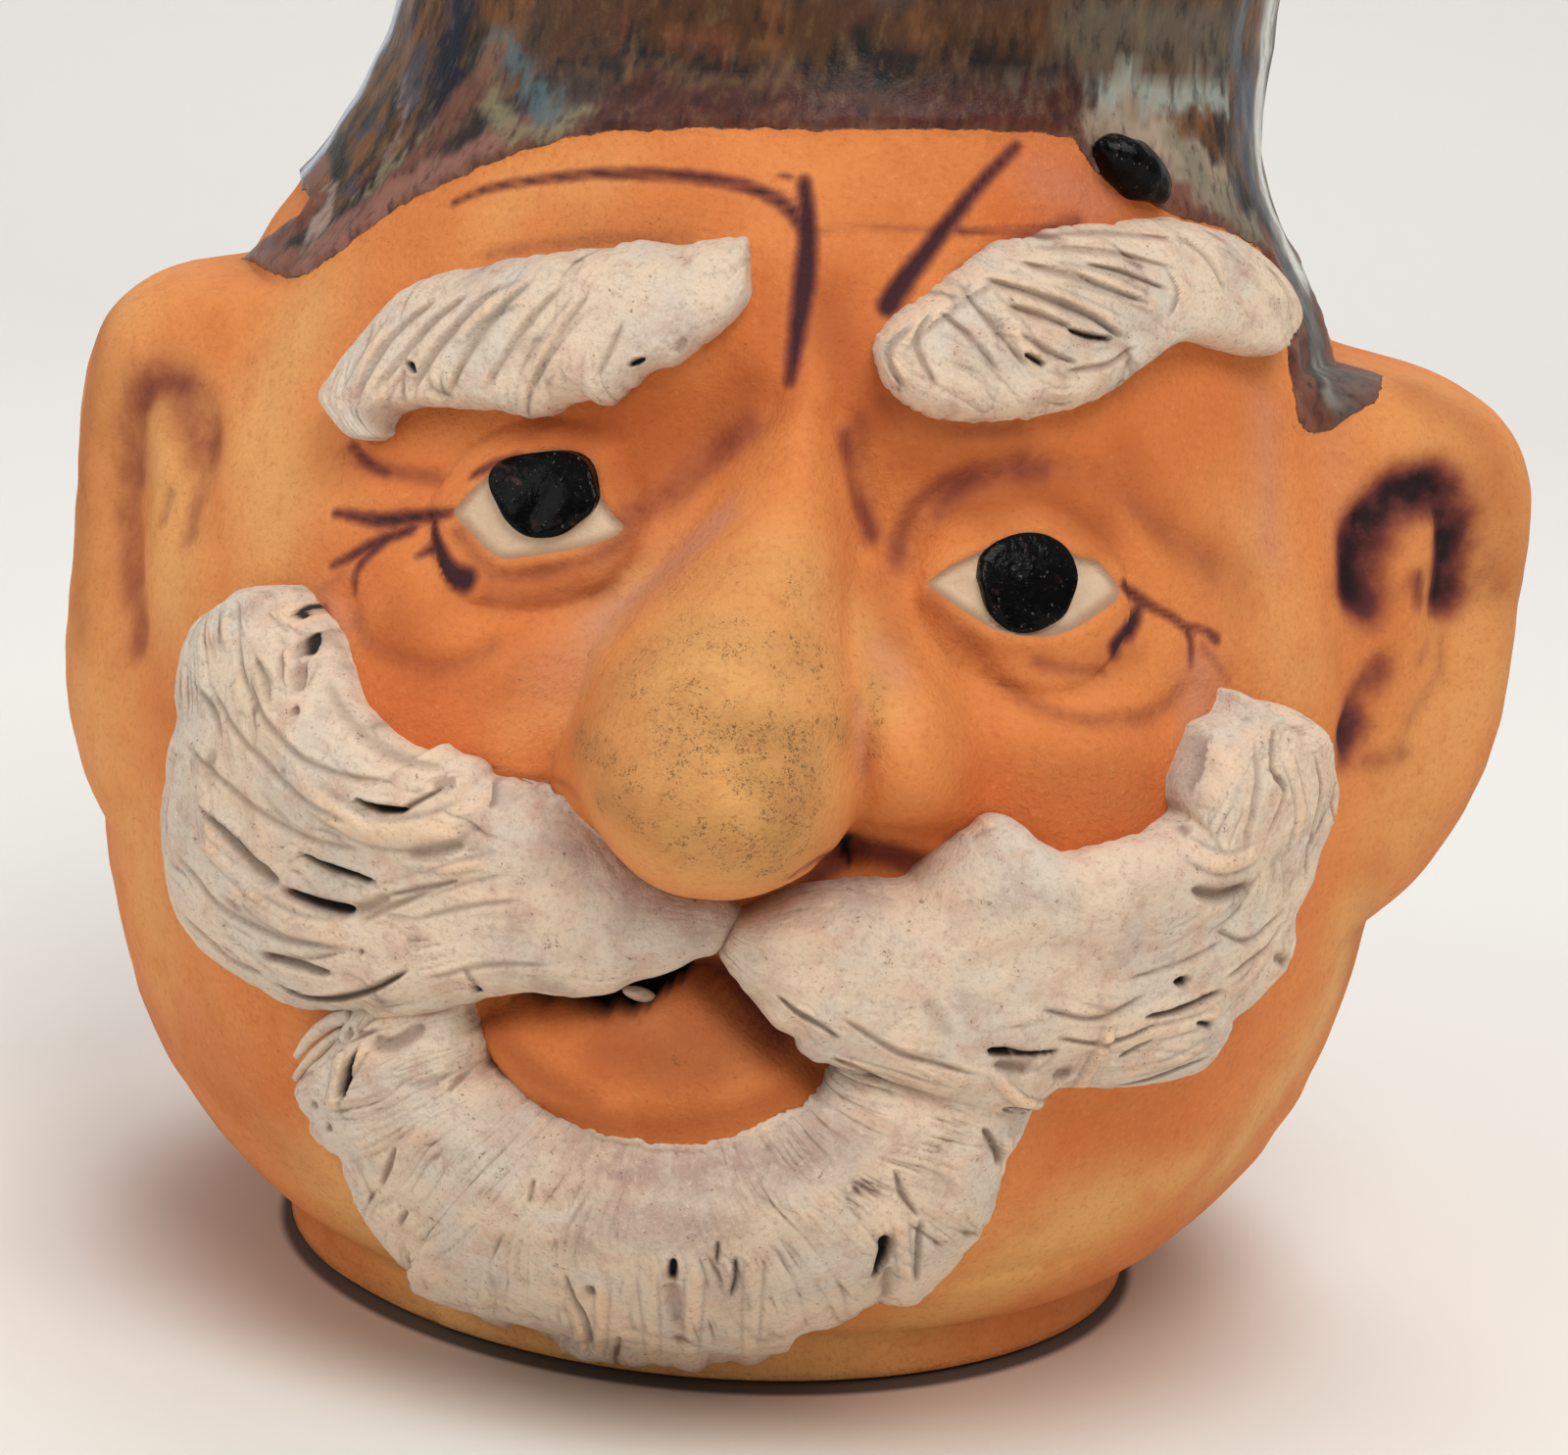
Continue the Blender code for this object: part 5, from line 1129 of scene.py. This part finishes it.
            (1072, 1120)],
        "thick": 5.5, "stands": (0.3, 0.48), "grid": (120, 460), "grain": 90.0, "seed": 15, "folds": 0.3,
        "fine": 0.2, "fringe": (0.3, 0.4), "calm": [((675, 1195), 70, 0.5), ((530, 1130), 60, 0.3)],
        "cuts": [([(366, 1072), (355, 1097), (348, 1121)], (0.15, 0.28, 0.15), 1.3, 1.0),
            ([(319, 1124), (324, 1130)], (0.3, 0.35, 0.3), 0.5, 0.5),
            ([(333, 1148), (338, 1154)], (0.3, 0.35, 0.3), 0.5, 0.5),
            ([(353, 1052), (357, 1060)], (0.3, 0.4, 0.3), 0.5, 0.5),
            ([(378, 1060), (399, 1066), (418, 1056), (433, 1048)], (0.35, 0.5, 0.35), 0.5, 0.5),
            ([(481, 1092), (468, 1103), (456, 1116)], (0.12, 0.2, 0.12), 0.35, 0.35),
            ([(404, 1170), (390, 1210)], (0.12, 0.22, 0.12), 0.4, 0.4),
            ([(415, 1235), (408, 1250)], (0.12, 0.2, 0.12), 0.4, 0.4),
            ([(545, 1205), (539, 1229)], (0.12, 0.2, 0.12), 0.35, 0.35),
            ([(577, 1300), (586, 1325), (598, 1347), (606, 1375)], (0.12, 0.22, 0.12), 0.6, 0.5),
            ([(603, 1312), (605, 1320)], (0.25, 0.35, 0.25), 0.5, 0.6),
            ([(632, 1363), (630, 1385)], (0.12, 0.2, 0.12), 0.5, 0.5),
            ([(687, 1286), (686, 1307)], (0.2, 0.27, 0.2), 1.5, 1.0),
            ([(686, 1308), (692, 1352)], (0.4, 0.6, 0.3), 0.6, 0.4),
            ([(733, 1268), (731, 1290)], (0.1, 0.16, 0.1), 0.5, 0.65),
            ([(751, 1284), (750, 1308), (745, 1323)], (0.12, 0.2, 0.12), 0.6, 0.65),
            ([(904, 1263), (902, 1280), (891, 1304)], (0.42, 0.36, 0.14), 1.7, 1.0),
            ([(906, 1292), (903, 1325)], (0.3, 0.4, 0.25), 0.5, 0.4),
            ([(913, 1195), (921, 1220), (936, 1241)], (0.12, 0.22, 0.12), 0.5, 0.4),
            ([(940, 1246), (936, 1279), (935, 1309)], (0.12, 0.24, 0.12), 0.5, 0.45),
            ([(1005, 1153), (1016, 1174), (1018, 1189)], (0.2, 0.3, 0.2), 0.6, 0.55)],
        "ridges": [([(616, 1300), (612, 1390)], 0.5, 0.35), ([(580, 1320), (600, 1390)], 0.5, 0.35),
            ([(918, 1240), (925, 1320)], 0.5, 0.3), ([(1030, 1155), (1022, 1200)], 0.5, 0.35),
            ([(660, 1290), (668, 1395)], 0.6, 0.3), ([(710, 1290), (704, 1395)], 0.6, 0.3),
            ([(770, 1270), (765, 1390)], 0.6, 0.25), ([(350, 1062), (341, 1120), (338, 1140)], 0.5, 0.35),
            ([(376, 1064), (352, 1100)], 0.45, 0.35)],
        "steps": [],
        "tonesAndShade": [([(590, 1185), (680, 1200), (780, 1190), (850, 1165)], 2.3, 0.85),
            ([(640, 1240), (730, 1250)], 2.4, 0.7), ([(500, 1135), (545, 1180)], 1.5, 0.35),
            ([(380, 1110), (400, 1160)], 1.5, 0.3), ([(730, 1290), (745, 1340)], 1.2, 0.4)],
        "wisps": [([(358, 1036), (338, 1043), (318, 1059), (303, 1078)], (0.55, 0.5, 0.3), 2.2),
            ([(352, 1052), (334, 1066), (314, 1086), (302, 1100)], (0.5, 0.5, 0.3), 2.0),
            ([(350, 1068), (334, 1086), (316, 1108)], (0.5, 0.5, 0.3), 2.0)]}}


def combing(p, q, spec):
    # long ridges with fine strands: the relief in mm, and how far down in a valley each place is, which is
    # painted as shade
    broad = np.abs(patchwork(p / 9.0, q / 1.4, spec["seed"])) ** 0.55
    thin = np.abs(patchwork(p / 5.0 + 7.3, q / 0.55, spec["seed"] + 1)) ** 0.6
    finest = patchwork(p / 3.0, q / 0.25, spec["seed"] + 2)
    crumbs = patchwork(p / 0.5 + 3.1, q / 0.35, spec["seed"] + 3)
    relief = spec["folds"] * (broad - 0.6) + spec["fine"] * (thin - 0.55 + 0.4 * finest + 0.25 * crumbs)
    hollow = np.clip(0.42 - broad, 0.0, 1.0) * 1.1 + np.clip(0.4 - thin, 0.0, 1.0) * 0.9
    return relief, hollow + 0.16 * np.clip(-finest, 0.0, 1.0)


def hairSheet(spec):
    # a fine grid on top, a wall and a coarse underside, all within one unit square
    acrossCount, alongCount = spec["grid"]
    shape = bmesh.new()
    upper = shape.verts.layers.float.new("upper")
    bmesh.ops.create_grid(shape, x_segments=alongCount - 1, y_segments=acrossCount - 1, size=0.5)
    for corner in shape.verts:
        corner[upper] = 1.0
    border = [e for e in shape.edges if len(e.link_faces) == 1]
    made = bmesh.ops.extrude_edge_only(shape, edges=border)["geom"]
    lowEdges = [g for g in made if isinstance(g, bmesh.types.BMEdge) and len(g.link_faces) == 1]
    under = bmesh.ops.create_grid(shape, x_segments=alongCount // 6, y_segments=acrossCount // 6,
                                  size=0.49)["verts"]
    for corner in [g for g in made if isinstance(g, bmesh.types.BMVert)] + under:
        corner[upper] = 0.0
        corner.co.z = -0.01
    underEdges = [e for e in {e for v in under for e in v.link_edges} if len(e.link_faces) == 1]
    bmesh.ops.bridge_loops(shape, edges=lowEdges + underEdges)
    bmesh.ops.recalc_face_normals(shape, faces=shape.faces)
    return shape


def addWisp(shape, pixels, widths, out):
    # a thin tapering strand that leaves the sheet
    stations = 18
    flat = seen(spread(pixels, stations), out)
    rise = out + 0.2 * np.sin(np.linspace(0.0, math.pi, stations))
    track = onHead(flat[:, 0], flat[:, 1], broadForm(flat[:, 0], flat[:, 1]) + rise)
    halves = np.interp(np.linspace(0.0, 1.0, stations), [0.0, 0.5, 1.0], widths)
    rings = makeTube(shape, 12, stations)
    along = np.gradient(track, axis=0)
    for station, corners in enumerate(rings):
        way = Vector(along[station]).normalized()
        outward = Vector((track[station][0], track[station][1], 0.0)).normalized()
        side = way.cross(outward).normalized()
        lift = side.cross(way)
        for corner in corners:
            x, y = corner.co.x * halves[station], corner.co.y * halves[station]
            corner.co = (Vector(track[station]) + side * x + lift * y) * mm
    closeTube(shape, rings)


def evened(values, flat, top, grid):
    # values on the sheet's upper grid, smoothed over their neighbours
    upper = np.flatnonzero(top)
    order = upper[np.lexsort((np.round(flat[upper, 0], 5), np.round(flat[upper, 1], 5)))]
    sheet = values[order].reshape(grid)
    for again in range(40):
        wide = np.pad(sheet, 1, mode="edge")
        sheet = 0.2 * (sheet + wide[2:, 1:-1] + wide[:-2, 1:-1] + wide[1:-1, 2:] + wide[1:-1, :-2])
    values = values.copy()
    values[order] = sheet.ravel()
    return values


def makeHair(name, spec):
    mesh = meshOf(name, hairSheet(spec))
    flat = readPlaces(mesh)
    top = np.empty(len(flat), np.float32)
    mesh.attributes["upper"].data.foreach_get("value", top)
    top = top > 0.5
    evenAlong, evenAcross = flat[:, 0] + 0.5, flat[:, 1] + 0.5
    across = 0.4 * evenAcross + 0.6 * (0.5 - 0.5 * np.cos(math.pi * evenAcross))
    along = 0.8 * evenAlong + 0.2 * (0.5 - 0.5 * np.cos(math.pi * evenAlong))

    # the outline, made a little uneven by the strands' ends
    thick, seed, edgePoints = spec["thick"], spec["seed"], 300
    near, far = (seen(spread(spec[side], edgePoints), None if stand is None else stand * thick)
                 for side, stand in zip(("near", "far"), spec["stands"]))
    station, index = along * (edgePoints - 1.0), np.arange(edgePoints)
    lower = np.column_stack([np.interp(station, index, near[:, k]) for k in range(2)])
    higher = np.column_stack([np.interp(station, index, far[:, k]) for k in range(2)])
    mid = 0.5 * (near + far)
    length = np.sum(np.linalg.norm(np.diff(mid * levelHeight, axis=0), axis=1))
    width = np.linalg.norm((higher - lower) * levelHeight, axis=1)
    typical = float(np.median(width))
    ends = 0.6 * patchwork(along * length / 1.7, across * 3.0, seed + 40)
    ends += 0.4 * patchwork(along * length / 0.6, across * 3.0, seed + 41)
    fringe = np.where(across > 0.5, spec["fringe"][1], -spec["fringe"][0]) * ends / np.maximum(width, 2.0)
    place = lower + (higher - lower) * (across + fringe * np.abs(2.0 * across - 1.0) ** 4)[:, None]
    angle, level = place[:, 0], np.maximum(place[:, 1], 0.7)

    # height above the face: a rounded pad that also lies on the skin
    spots = np.column_stack([angle, level]) * levelHeight  # a degree round the pot is about as wide
    crown = (1.0 - np.abs(2.0 * across - 1.0) ** 3.2) ** 0.55 * (1.0 - np.abs(2.0 * along - 1.0) ** 10) ** 0.5
    skin = headForm(angle, level) - broadForm(angle, level)
    lift = spec.get("lift", (0.3, 0.8))
    eased = evened(np.minimum(skin, 2.6), flat, top, spec["grid"])
    pad = np.maximum(thick * (0.2 + 0.8 * crown), eased + lift[0] + lift[1] * crown)
    upperSpots, upperPad = spots[top], pad[top]

    def landed(pixels, count=14):
        # a line of the picture, put down on the pad
        line, rise = spread(pixels, count), 0.6 * thick
        for again in range(5):
            track = seen(line, rise) * levelHeight
            nearest = [int(np.argmin(((upperSpots - place) ** 2).sum(1))) for place in track]
            rise = 0.5 * rise + 0.5 * upperPad[nearest][:, None]
        return seen(line, rise) * levelHeight

    # how the strands lie, in mm
    c, s = math.cos(math.radians(spec["grain"])), math.sin(math.radians(spec["grain"]))
    x, y = along * length, (across - 0.5) * typical
    p, q = x * c + y * s, y * c - x * s
    relief, hollow = combing(p + 0.6 * wander(spots, 6.0, seed + 3),
                             q + 0.45 * wander(spots, 8.0, seed + 4), spec)
    calm = np.zeros(len(flat))
    for pixel, radius, amount in spec["calm"]:
        middle = seen([pixel], 0.85 * thick)[0] * levelHeight  # its height above the skin taken as even
        calm = np.maximum(calm, amount * np.exp(-(((spots - middle) ** 2).sum(1)) / (radius * 0.064) ** 2))
    busy = (1.0 - calm) * (0.75 + 0.4 * wander(spots, 5.0, seed + 5))
    relief, hollow = relief * busy + 0.1 * wander(spots, 4.0, seed + 6), hollow * busy
    slitShadow = np.zeros(len(flat))
    for pixels, halves, depth, dark in spec["cuts"]:
        gap, share, side = nearLine(spots, landed(pixels), 5.0 * max(halves))
        half = np.interp(share, [0.0, 0.5, 1.0], halves)
        fade = smoothStep(0.35 + share / 0.2) * smoothStep(0.35 + (1.0 - share) / 0.2)
        cut = np.exp(-(gap / half) ** 2.6) * fade
        relief += 0.16 * min(depth, 1.0) * np.exp(-((gap - 2.0 * half) / half) ** 2) * fade - depth * cut
        slitShadow = np.maximum(slitShadow, cut * max(dark - 0.35, 0.0) / 0.65)
        hollow = np.maximum(hollow, (0.25 + 0.6 * dark) * np.exp(-(gap / (1.6 * half)) ** 2) * fade)
    for pixels, half, rise in spec["ridges"]:
        gap, share, side = nearLine(spots, landed(pixels), 3.0 * half)
        fade = smoothStep(0.1 + share / 0.25) * smoothStep(0.1 + (1.0 - share) / 0.25)
        relief += rise * np.sqrt(np.clip(1.0 - (gap / half) ** 2, 0.0, 1.0)) * fade
        hollow = np.maximum(hollow, 0.4 * np.exp(-((gap - 1.15 * half) / (0.35 * half)) ** 2) * fade)
    for pixels, rise, reach in spec["steps"]:
        gap, share, side = nearLine(spots, landed(pixels), 4.0 * reach)
        fade = smoothStep(share / 0.3) * smoothStep((1.0 - share) / 0.3)
        relief += rise * smoothStep(0.5 + side * gap / 0.6) * np.exp(-(gap / reach) ** 2) * fade
        hollow = np.maximum(hollow, 0.6 * np.exp(-(gap / 0.5) ** 2) * (side < 0.0) * fade)
    toneAndShade = np.zeros(len(flat))
    for pixels, radius, amount in spec.get("tonesAndShade", []):
        gap = gapToLine(spots, landed(pixels), 3.0 * radius)
        toneAndShade = np.maximum(toneAndShade, amount * np.exp(-(gap / radius) ** 2))

    # the underside lies just inside the skin
    out = pad + relief * np.clip(1.5 * crown, 0.3, 1.0)
    out = np.where(top, out, np.minimum(out, skin) - 1.6)
    centre = mid[np.clip(station.astype(int), 0, edgePoints - 1)]
    tuck = np.where(top, 0.0, 0.04)
    angle, level = angle + (centre[:, 0] - angle) * tuck, level + (centre[:, 1] - level) * tuck
    points = onHead(angle, level, broadForm(angle, level) + out)
    points[:, 2] = np.maximum(points[:, 2], 0.6)
    mesh.vertices.foreach_set("co", (points * mm).ravel())
    # painted shade in the hollows, painted shadow in the slits, darker tones with painted shade, painted
    # highlight on the crests
    storeAmount(mesh, "hollow", np.clip(hollow, 0.0, 1.0))
    storeAmount(mesh, "slitShadow", np.clip(slitShadow, 0.0, 1.0))
    storeAmount(mesh, "toneAndShade", toneAndShade)
    storeAmount(mesh, "crest", np.clip(relief * 1.6, 0.0, 1.0))
    mesh.attributes.remove(mesh.attributes["upper"])
    shape = bmesh.new()
    shape.from_mesh(mesh)
    for wisp in spec.get("wisps", []):
        addWisp(shape, *wisp)
    bmesh.ops.recalc_face_normals(shape, faces=shape.faces)
    shape.to_mesh(mesh)
    shape.free()
    return mesh


def whiteMaterial():
    d = Desk("white clay")
    mottle, fine, grain = d.noise(2.2, 5.0), d.noise(0.3, 3.0, 0.6), d.noise(0.45, 4.0, 0.7)
    color = d.mix(d.step(d.noise(7.0, 3.0), 0.38, 0.62), srgb(224, 199, 173), srgb(212, 196, 178))
    color = d.mix(d.step(mottle, 0.46, 0.72, (0.0, 0.7)), color, srgb(204, 166, 143))
    color = d.mix(d.step(d.noise(5.0, 5.0, 0.65), 0.52, 0.7, (0.0, 0.6)), color, srgb(178, 154, 138))
    # painted highlight: the raised crests paler cream
    color = d.mix(d.step(d.amount("crest"), 0.0, 0.8, (0.0, 0.75)), color, srgb(232, 196, 162))
    # darker tones: painted shade under the nose, the lip and overhangs, with some greyer clay
    toneAndShade = d.sum("MULTIPLY", d.amount("toneAndShade"), d.step(d.noise(1.6, 5.0, 0.7), 0.3, 0.6, (0.4, 0.95)))
    color = d.mix(toneAndShade, color, srgb(168, 138, 124))
    color = d.mix(d.step(grain, 0.5, 0.3, (0.0, 0.45)), color, srgb(156, 136, 122))
    color = d.mix(d.step(grain, 0.55, 0.72, (0.0, 0.4)), color, srgb(228, 214, 198))
    # painted shade in the valleys, beside ridges, below steps and round the cuts
    color = d.mix(d.step(d.amount("hollow"), 0.05, 0.8, (0.0, 0.95)), color, srgb(132, 106, 90))
    # painted shadow, near black, in the deep cuts
    color = d.mix(d.step(d.amount("slitShadow"), 0.2, 0.75, (0.0, 0.97)), color, srgb(16, 12, 12))
    specks = d.add("TexVoronoi", {"Vector": d.pulled(0.4, 0.4), "Scale": 2300.0}).outputs["Distance"]
    few = d.sum("MULTIPLY", d.step(specks, 0.12, 0.32, (1.0, 0.0)),
                d.step(d.noise(1.1, 3.0, 0.6), 0.57, 0.63))
    color = d.mix(d.sum("MULTIPLY", few, 0.7), color, srgb(92, 78, 68))
    d.put(d.shader.inputs["Base Color"], color)
    d.shader.inputs["Roughness"].default_value = 0.82
    d.put(d.shader.inputs["Normal"], d.bump(fine, 0.1, d.bump(grain, 0.16, d.bump(mottle, 0.12))))
    return d.material


whiteClay = whiteMaterial()
for hairName, hairSpec in hair.items():
    addPiece(hairName + "_clay", makeHair(hairName, hairSpec), whiteClay, (hairName,))
print("white clay done")

# Thick bead of glaze over the right brow, and the tooth
bead = {"place": (38.5, 100.7), "out": 0.6, "sizes": (3.8, 2.0, 1.9), "tilt": 28.0}
tooth = {"pixel": (652, 1018), "sizes": (1.2, 0.7, 0.45), "out": -0.7}
pupilGlaze = {
    "thick": 0.2, "lift": (0.12, 0.45), "stands": (None, None), "grid": (44, 72), "grain": 0.0,
    "folds": 0.0, "fine": 0.0, "fringe": (0.0, 0.0), "calm": [], "cuts": [], "ridges": [], "steps": []}


def blob(name, place, out, sizes, tilt, seed):
    shape = bmesh.new()
    bmesh.ops.create_icosphere(shape, subdivisions=5, radius=1.0)
    angle, level = place
    spot = np.array([angle]), np.array([level])
    centre = onHead(*spot, headForm(*spot) + out)[0]
    turn = Matrix.Rotation(math.radians(angle), 3, "Z") @ Matrix.Rotation(math.radians(tilt), 3, "Y")
    bmesh.ops.scale(shape, verts=shape.verts, vec=sizes)
    bmesh.ops.rotate(shape, verts=shape.verts, cent=(0, 0, 0), matrix=turn)
    bmesh.ops.translate(shape, verts=shape.verts, vec=centre)
    bmesh.ops.scale(shape, verts=shape.verts, vec=(mm, mm, mm))
    bmesh.ops.recalc_face_normals(shape, faces=shape.faces)
    mesh = meshOf(name, shape)
    places = readPlaces(mesh) / mm
    away = places - centre
    bumpy = 1.0 + 0.05 * wander(places, 2.5, seed)
    mesh.vertices.foreach_set("co", ((centre + away * bumpy[:, None]) * mm).ravel())
    return mesh


def beadMaterial():
    d = Desk("black glaze")
    patch = d.noise(2.0, 4.0)
    color = d.mix(d.step(patch, 0.6, 0.75, (0.0, 0.8)), srgb(5, 4, 5), srgb(84, 58, 50))
    # pale specks painted as small glints
    color = d.mix(d.step(d.noise(0.35, 3.0, 0.6), 0.64, 0.72, (0.0, 0.7)), color, srgb(112, 98, 94))
    d.put(d.shader.inputs["Base Color"], color)
    d.put(d.shader.inputs["Roughness"], d.step(d.noise(0.8, 3.0), 0.4, 0.7, (0.12, 0.32)))
    d.shader.inputs["Specular IOR Level"].default_value = 0.09
    d.put(d.shader.inputs["Normal"], d.bump(d.noise(0.7, 3.0), 0.1))
    return d.material


blackGlaze = beadMaterial()
beadMesh = blob("glaze_bead", bead["place"], bead["out"], bead["sizes"], bead["tilt"], 31)
addPiece("glaze_bead", beadMesh, blackGlaze, ("mug",))
for side, eye in eyes.items():
    dot = eye["pupil"]
    pupilSpec = dict(pupilGlaze, seed=33 if side == "left" else 34, far=dot[:eye["turn"] + 1],
                     near=[dot[0]] + dot[:eye["turn"] - 1:-1])
    addPiece("pupil_" + side, makeHair("pupil_" + side, pupilSpec), blackGlaze, ("mug",))
toothPlace = tuple(seen([tooth["pixel"]])[0])
toothMesh = blob("tooth", toothPlace, tooth["out"], tooth["sizes"], 10.0, 32)
addPiece("tooth", toothMesh, whiteClay)
print("bead and tooth done")


# Floor, backdrop and light
def makeStage():
    shape = bmesh.new()
    curve = [(-1.5, 0.0), (0.55, 0.0)]
    curve += [(0.55 + 0.35 * math.sin(a), 0.35 - 0.35 * math.cos(a))
              for a in np.linspace(0.1, math.pi / 2, 14)]
    curve += [(0.9, 2.2)]
    line = [shape.verts.new((-2.5, y, z)) for y, z in curve]
    edges = [shape.edges.new(pair) for pair in zip(line[:-1], line[1:])]
    made = bmesh.ops.extrude_edge_only(shape, edges=edges)["geom"]
    moved = [g for g in made if isinstance(g, bmesh.types.BMVert)]
    bmesh.ops.translate(shape, verts=moved, vec=(5.0, 0.0, 0.0))
    bmesh.ops.recalc_face_normals(shape, faces=shape.faces)
    mesh = meshOf("backdrop", shape)
    d = Desk("pale backdrop")
    place = d.add("SeparateXYZ", {"Vector": d.object}).outputs
    far = d.step(place["Y"], -0.12, 0.25)
    color = d.mix(far, srgb(232, 229, 222), srgb(230, 227, 222))
    # painted shade: the backdrop darker higher up
    color = d.mix(d.step(place["Z"], 0.02, 0.3), color, srgb(200, 200, 196))
    # painted shadow close to the foot, warmed by light bounced from the mug, and a painted dark contact ring
    # at its edge
    away = d.add("VectorMath", {0: d.object, 1: (0.0, -0.001, 0.0)}, operation="DISTANCE").outputs["Value"]
    color = d.mix(d.step(away, 0.053, 0.037, (0.0, 0.6)), color, srgb(182, 146, 118))
    color = d.mix(d.step(away, 0.0352, 0.0342, (0.0, 0.85)), color, srgb(38, 24, 18))
    d.put(d.shader.inputs["Base Color"], color)
    d.shader.inputs["Roughness"].default_value = 0.9
    d.shader.inputs["Specular IOR Level"].default_value = 0.2
    mesh.materials.append(d.material)
    mesh.shade_smooth()
    floor = bpy.data.objects.new("backdrop", mesh)
    bpy.context.scene.collection.objects.link(floor)


lights = [
    {"name": "key", "place": (0.3, -0.7, 1.0), "size": 0.7, "power": 7.6, "color": (1.0, 0.98, 0.95)},
    {"name": "fill", "place": (-0.85, -0.5, 0.6), "size": 0.9, "power": 3.2, "color": (0.95, 0.97, 1.0)},
    {"name": "back", "place": (0.1, 0.5, 1.1), "size": 0.8, "power": 4.2, "color": (1.0, 1.0, 1.0)},
    {"name": "low", "place": (0.15, -0.75, 0.1), "size": 0.4, "power": 0.5, "color": (1.0, 0.95, 0.9)}]


def makeLights():
    for spec in lights:
        data = bpy.data.lights.new(spec["name"], "AREA")
        data.shape = "DISK"
        data.size = spec["size"]
        data.energy = spec["power"]
        data.color = spec["color"]
        lamp = bpy.data.objects.new(spec["name"], data)
        lamp.location = spec["place"]
        aim = Vector((0.0, 0.0, 0.05)) - lamp.location
        lamp.rotation_euler = aim.to_track_quat("-Z", "Y").to_euler()
        bpy.context.scene.collection.objects.link(lamp)
    world = bpy.data.worlds.new("room")
    world.use_nodes = True
    # brighter above and behind than in front
    nodes, links = world.node_tree.nodes, world.node_tree.links
    way = nodes.new("ShaderNodeVectorMath")
    way.operation = "DOT_PRODUCT"
    way.inputs[1].default_value = (0.0, 0.45, 0.89)
    links.new(nodes.new("ShaderNodeTexCoord").outputs["Generated"], way.inputs[0])
    ramp = nodes.new("ShaderNodeMapRange")
    for socket, value in (("From Min", -0.5), ("From Max", 0.9), ("To Min", 0.1), ("To Max", 0.75)):
        ramp.inputs[socket].default_value = value
    links.new(way.outputs["Value"], ramp.inputs["Value"])
    links.new(ramp.outputs["Result"], nodes["Background"].inputs["Strength"])
    nodes["Background"].inputs["Color"].default_value = (0.95, 0.97, 1.0, 1.0)
    bpy.context.scene.world = world
    bpy.context.scene.view_settings.view_transform = "Standard"


makeStage()
makeLights()
print("stage and lights done")
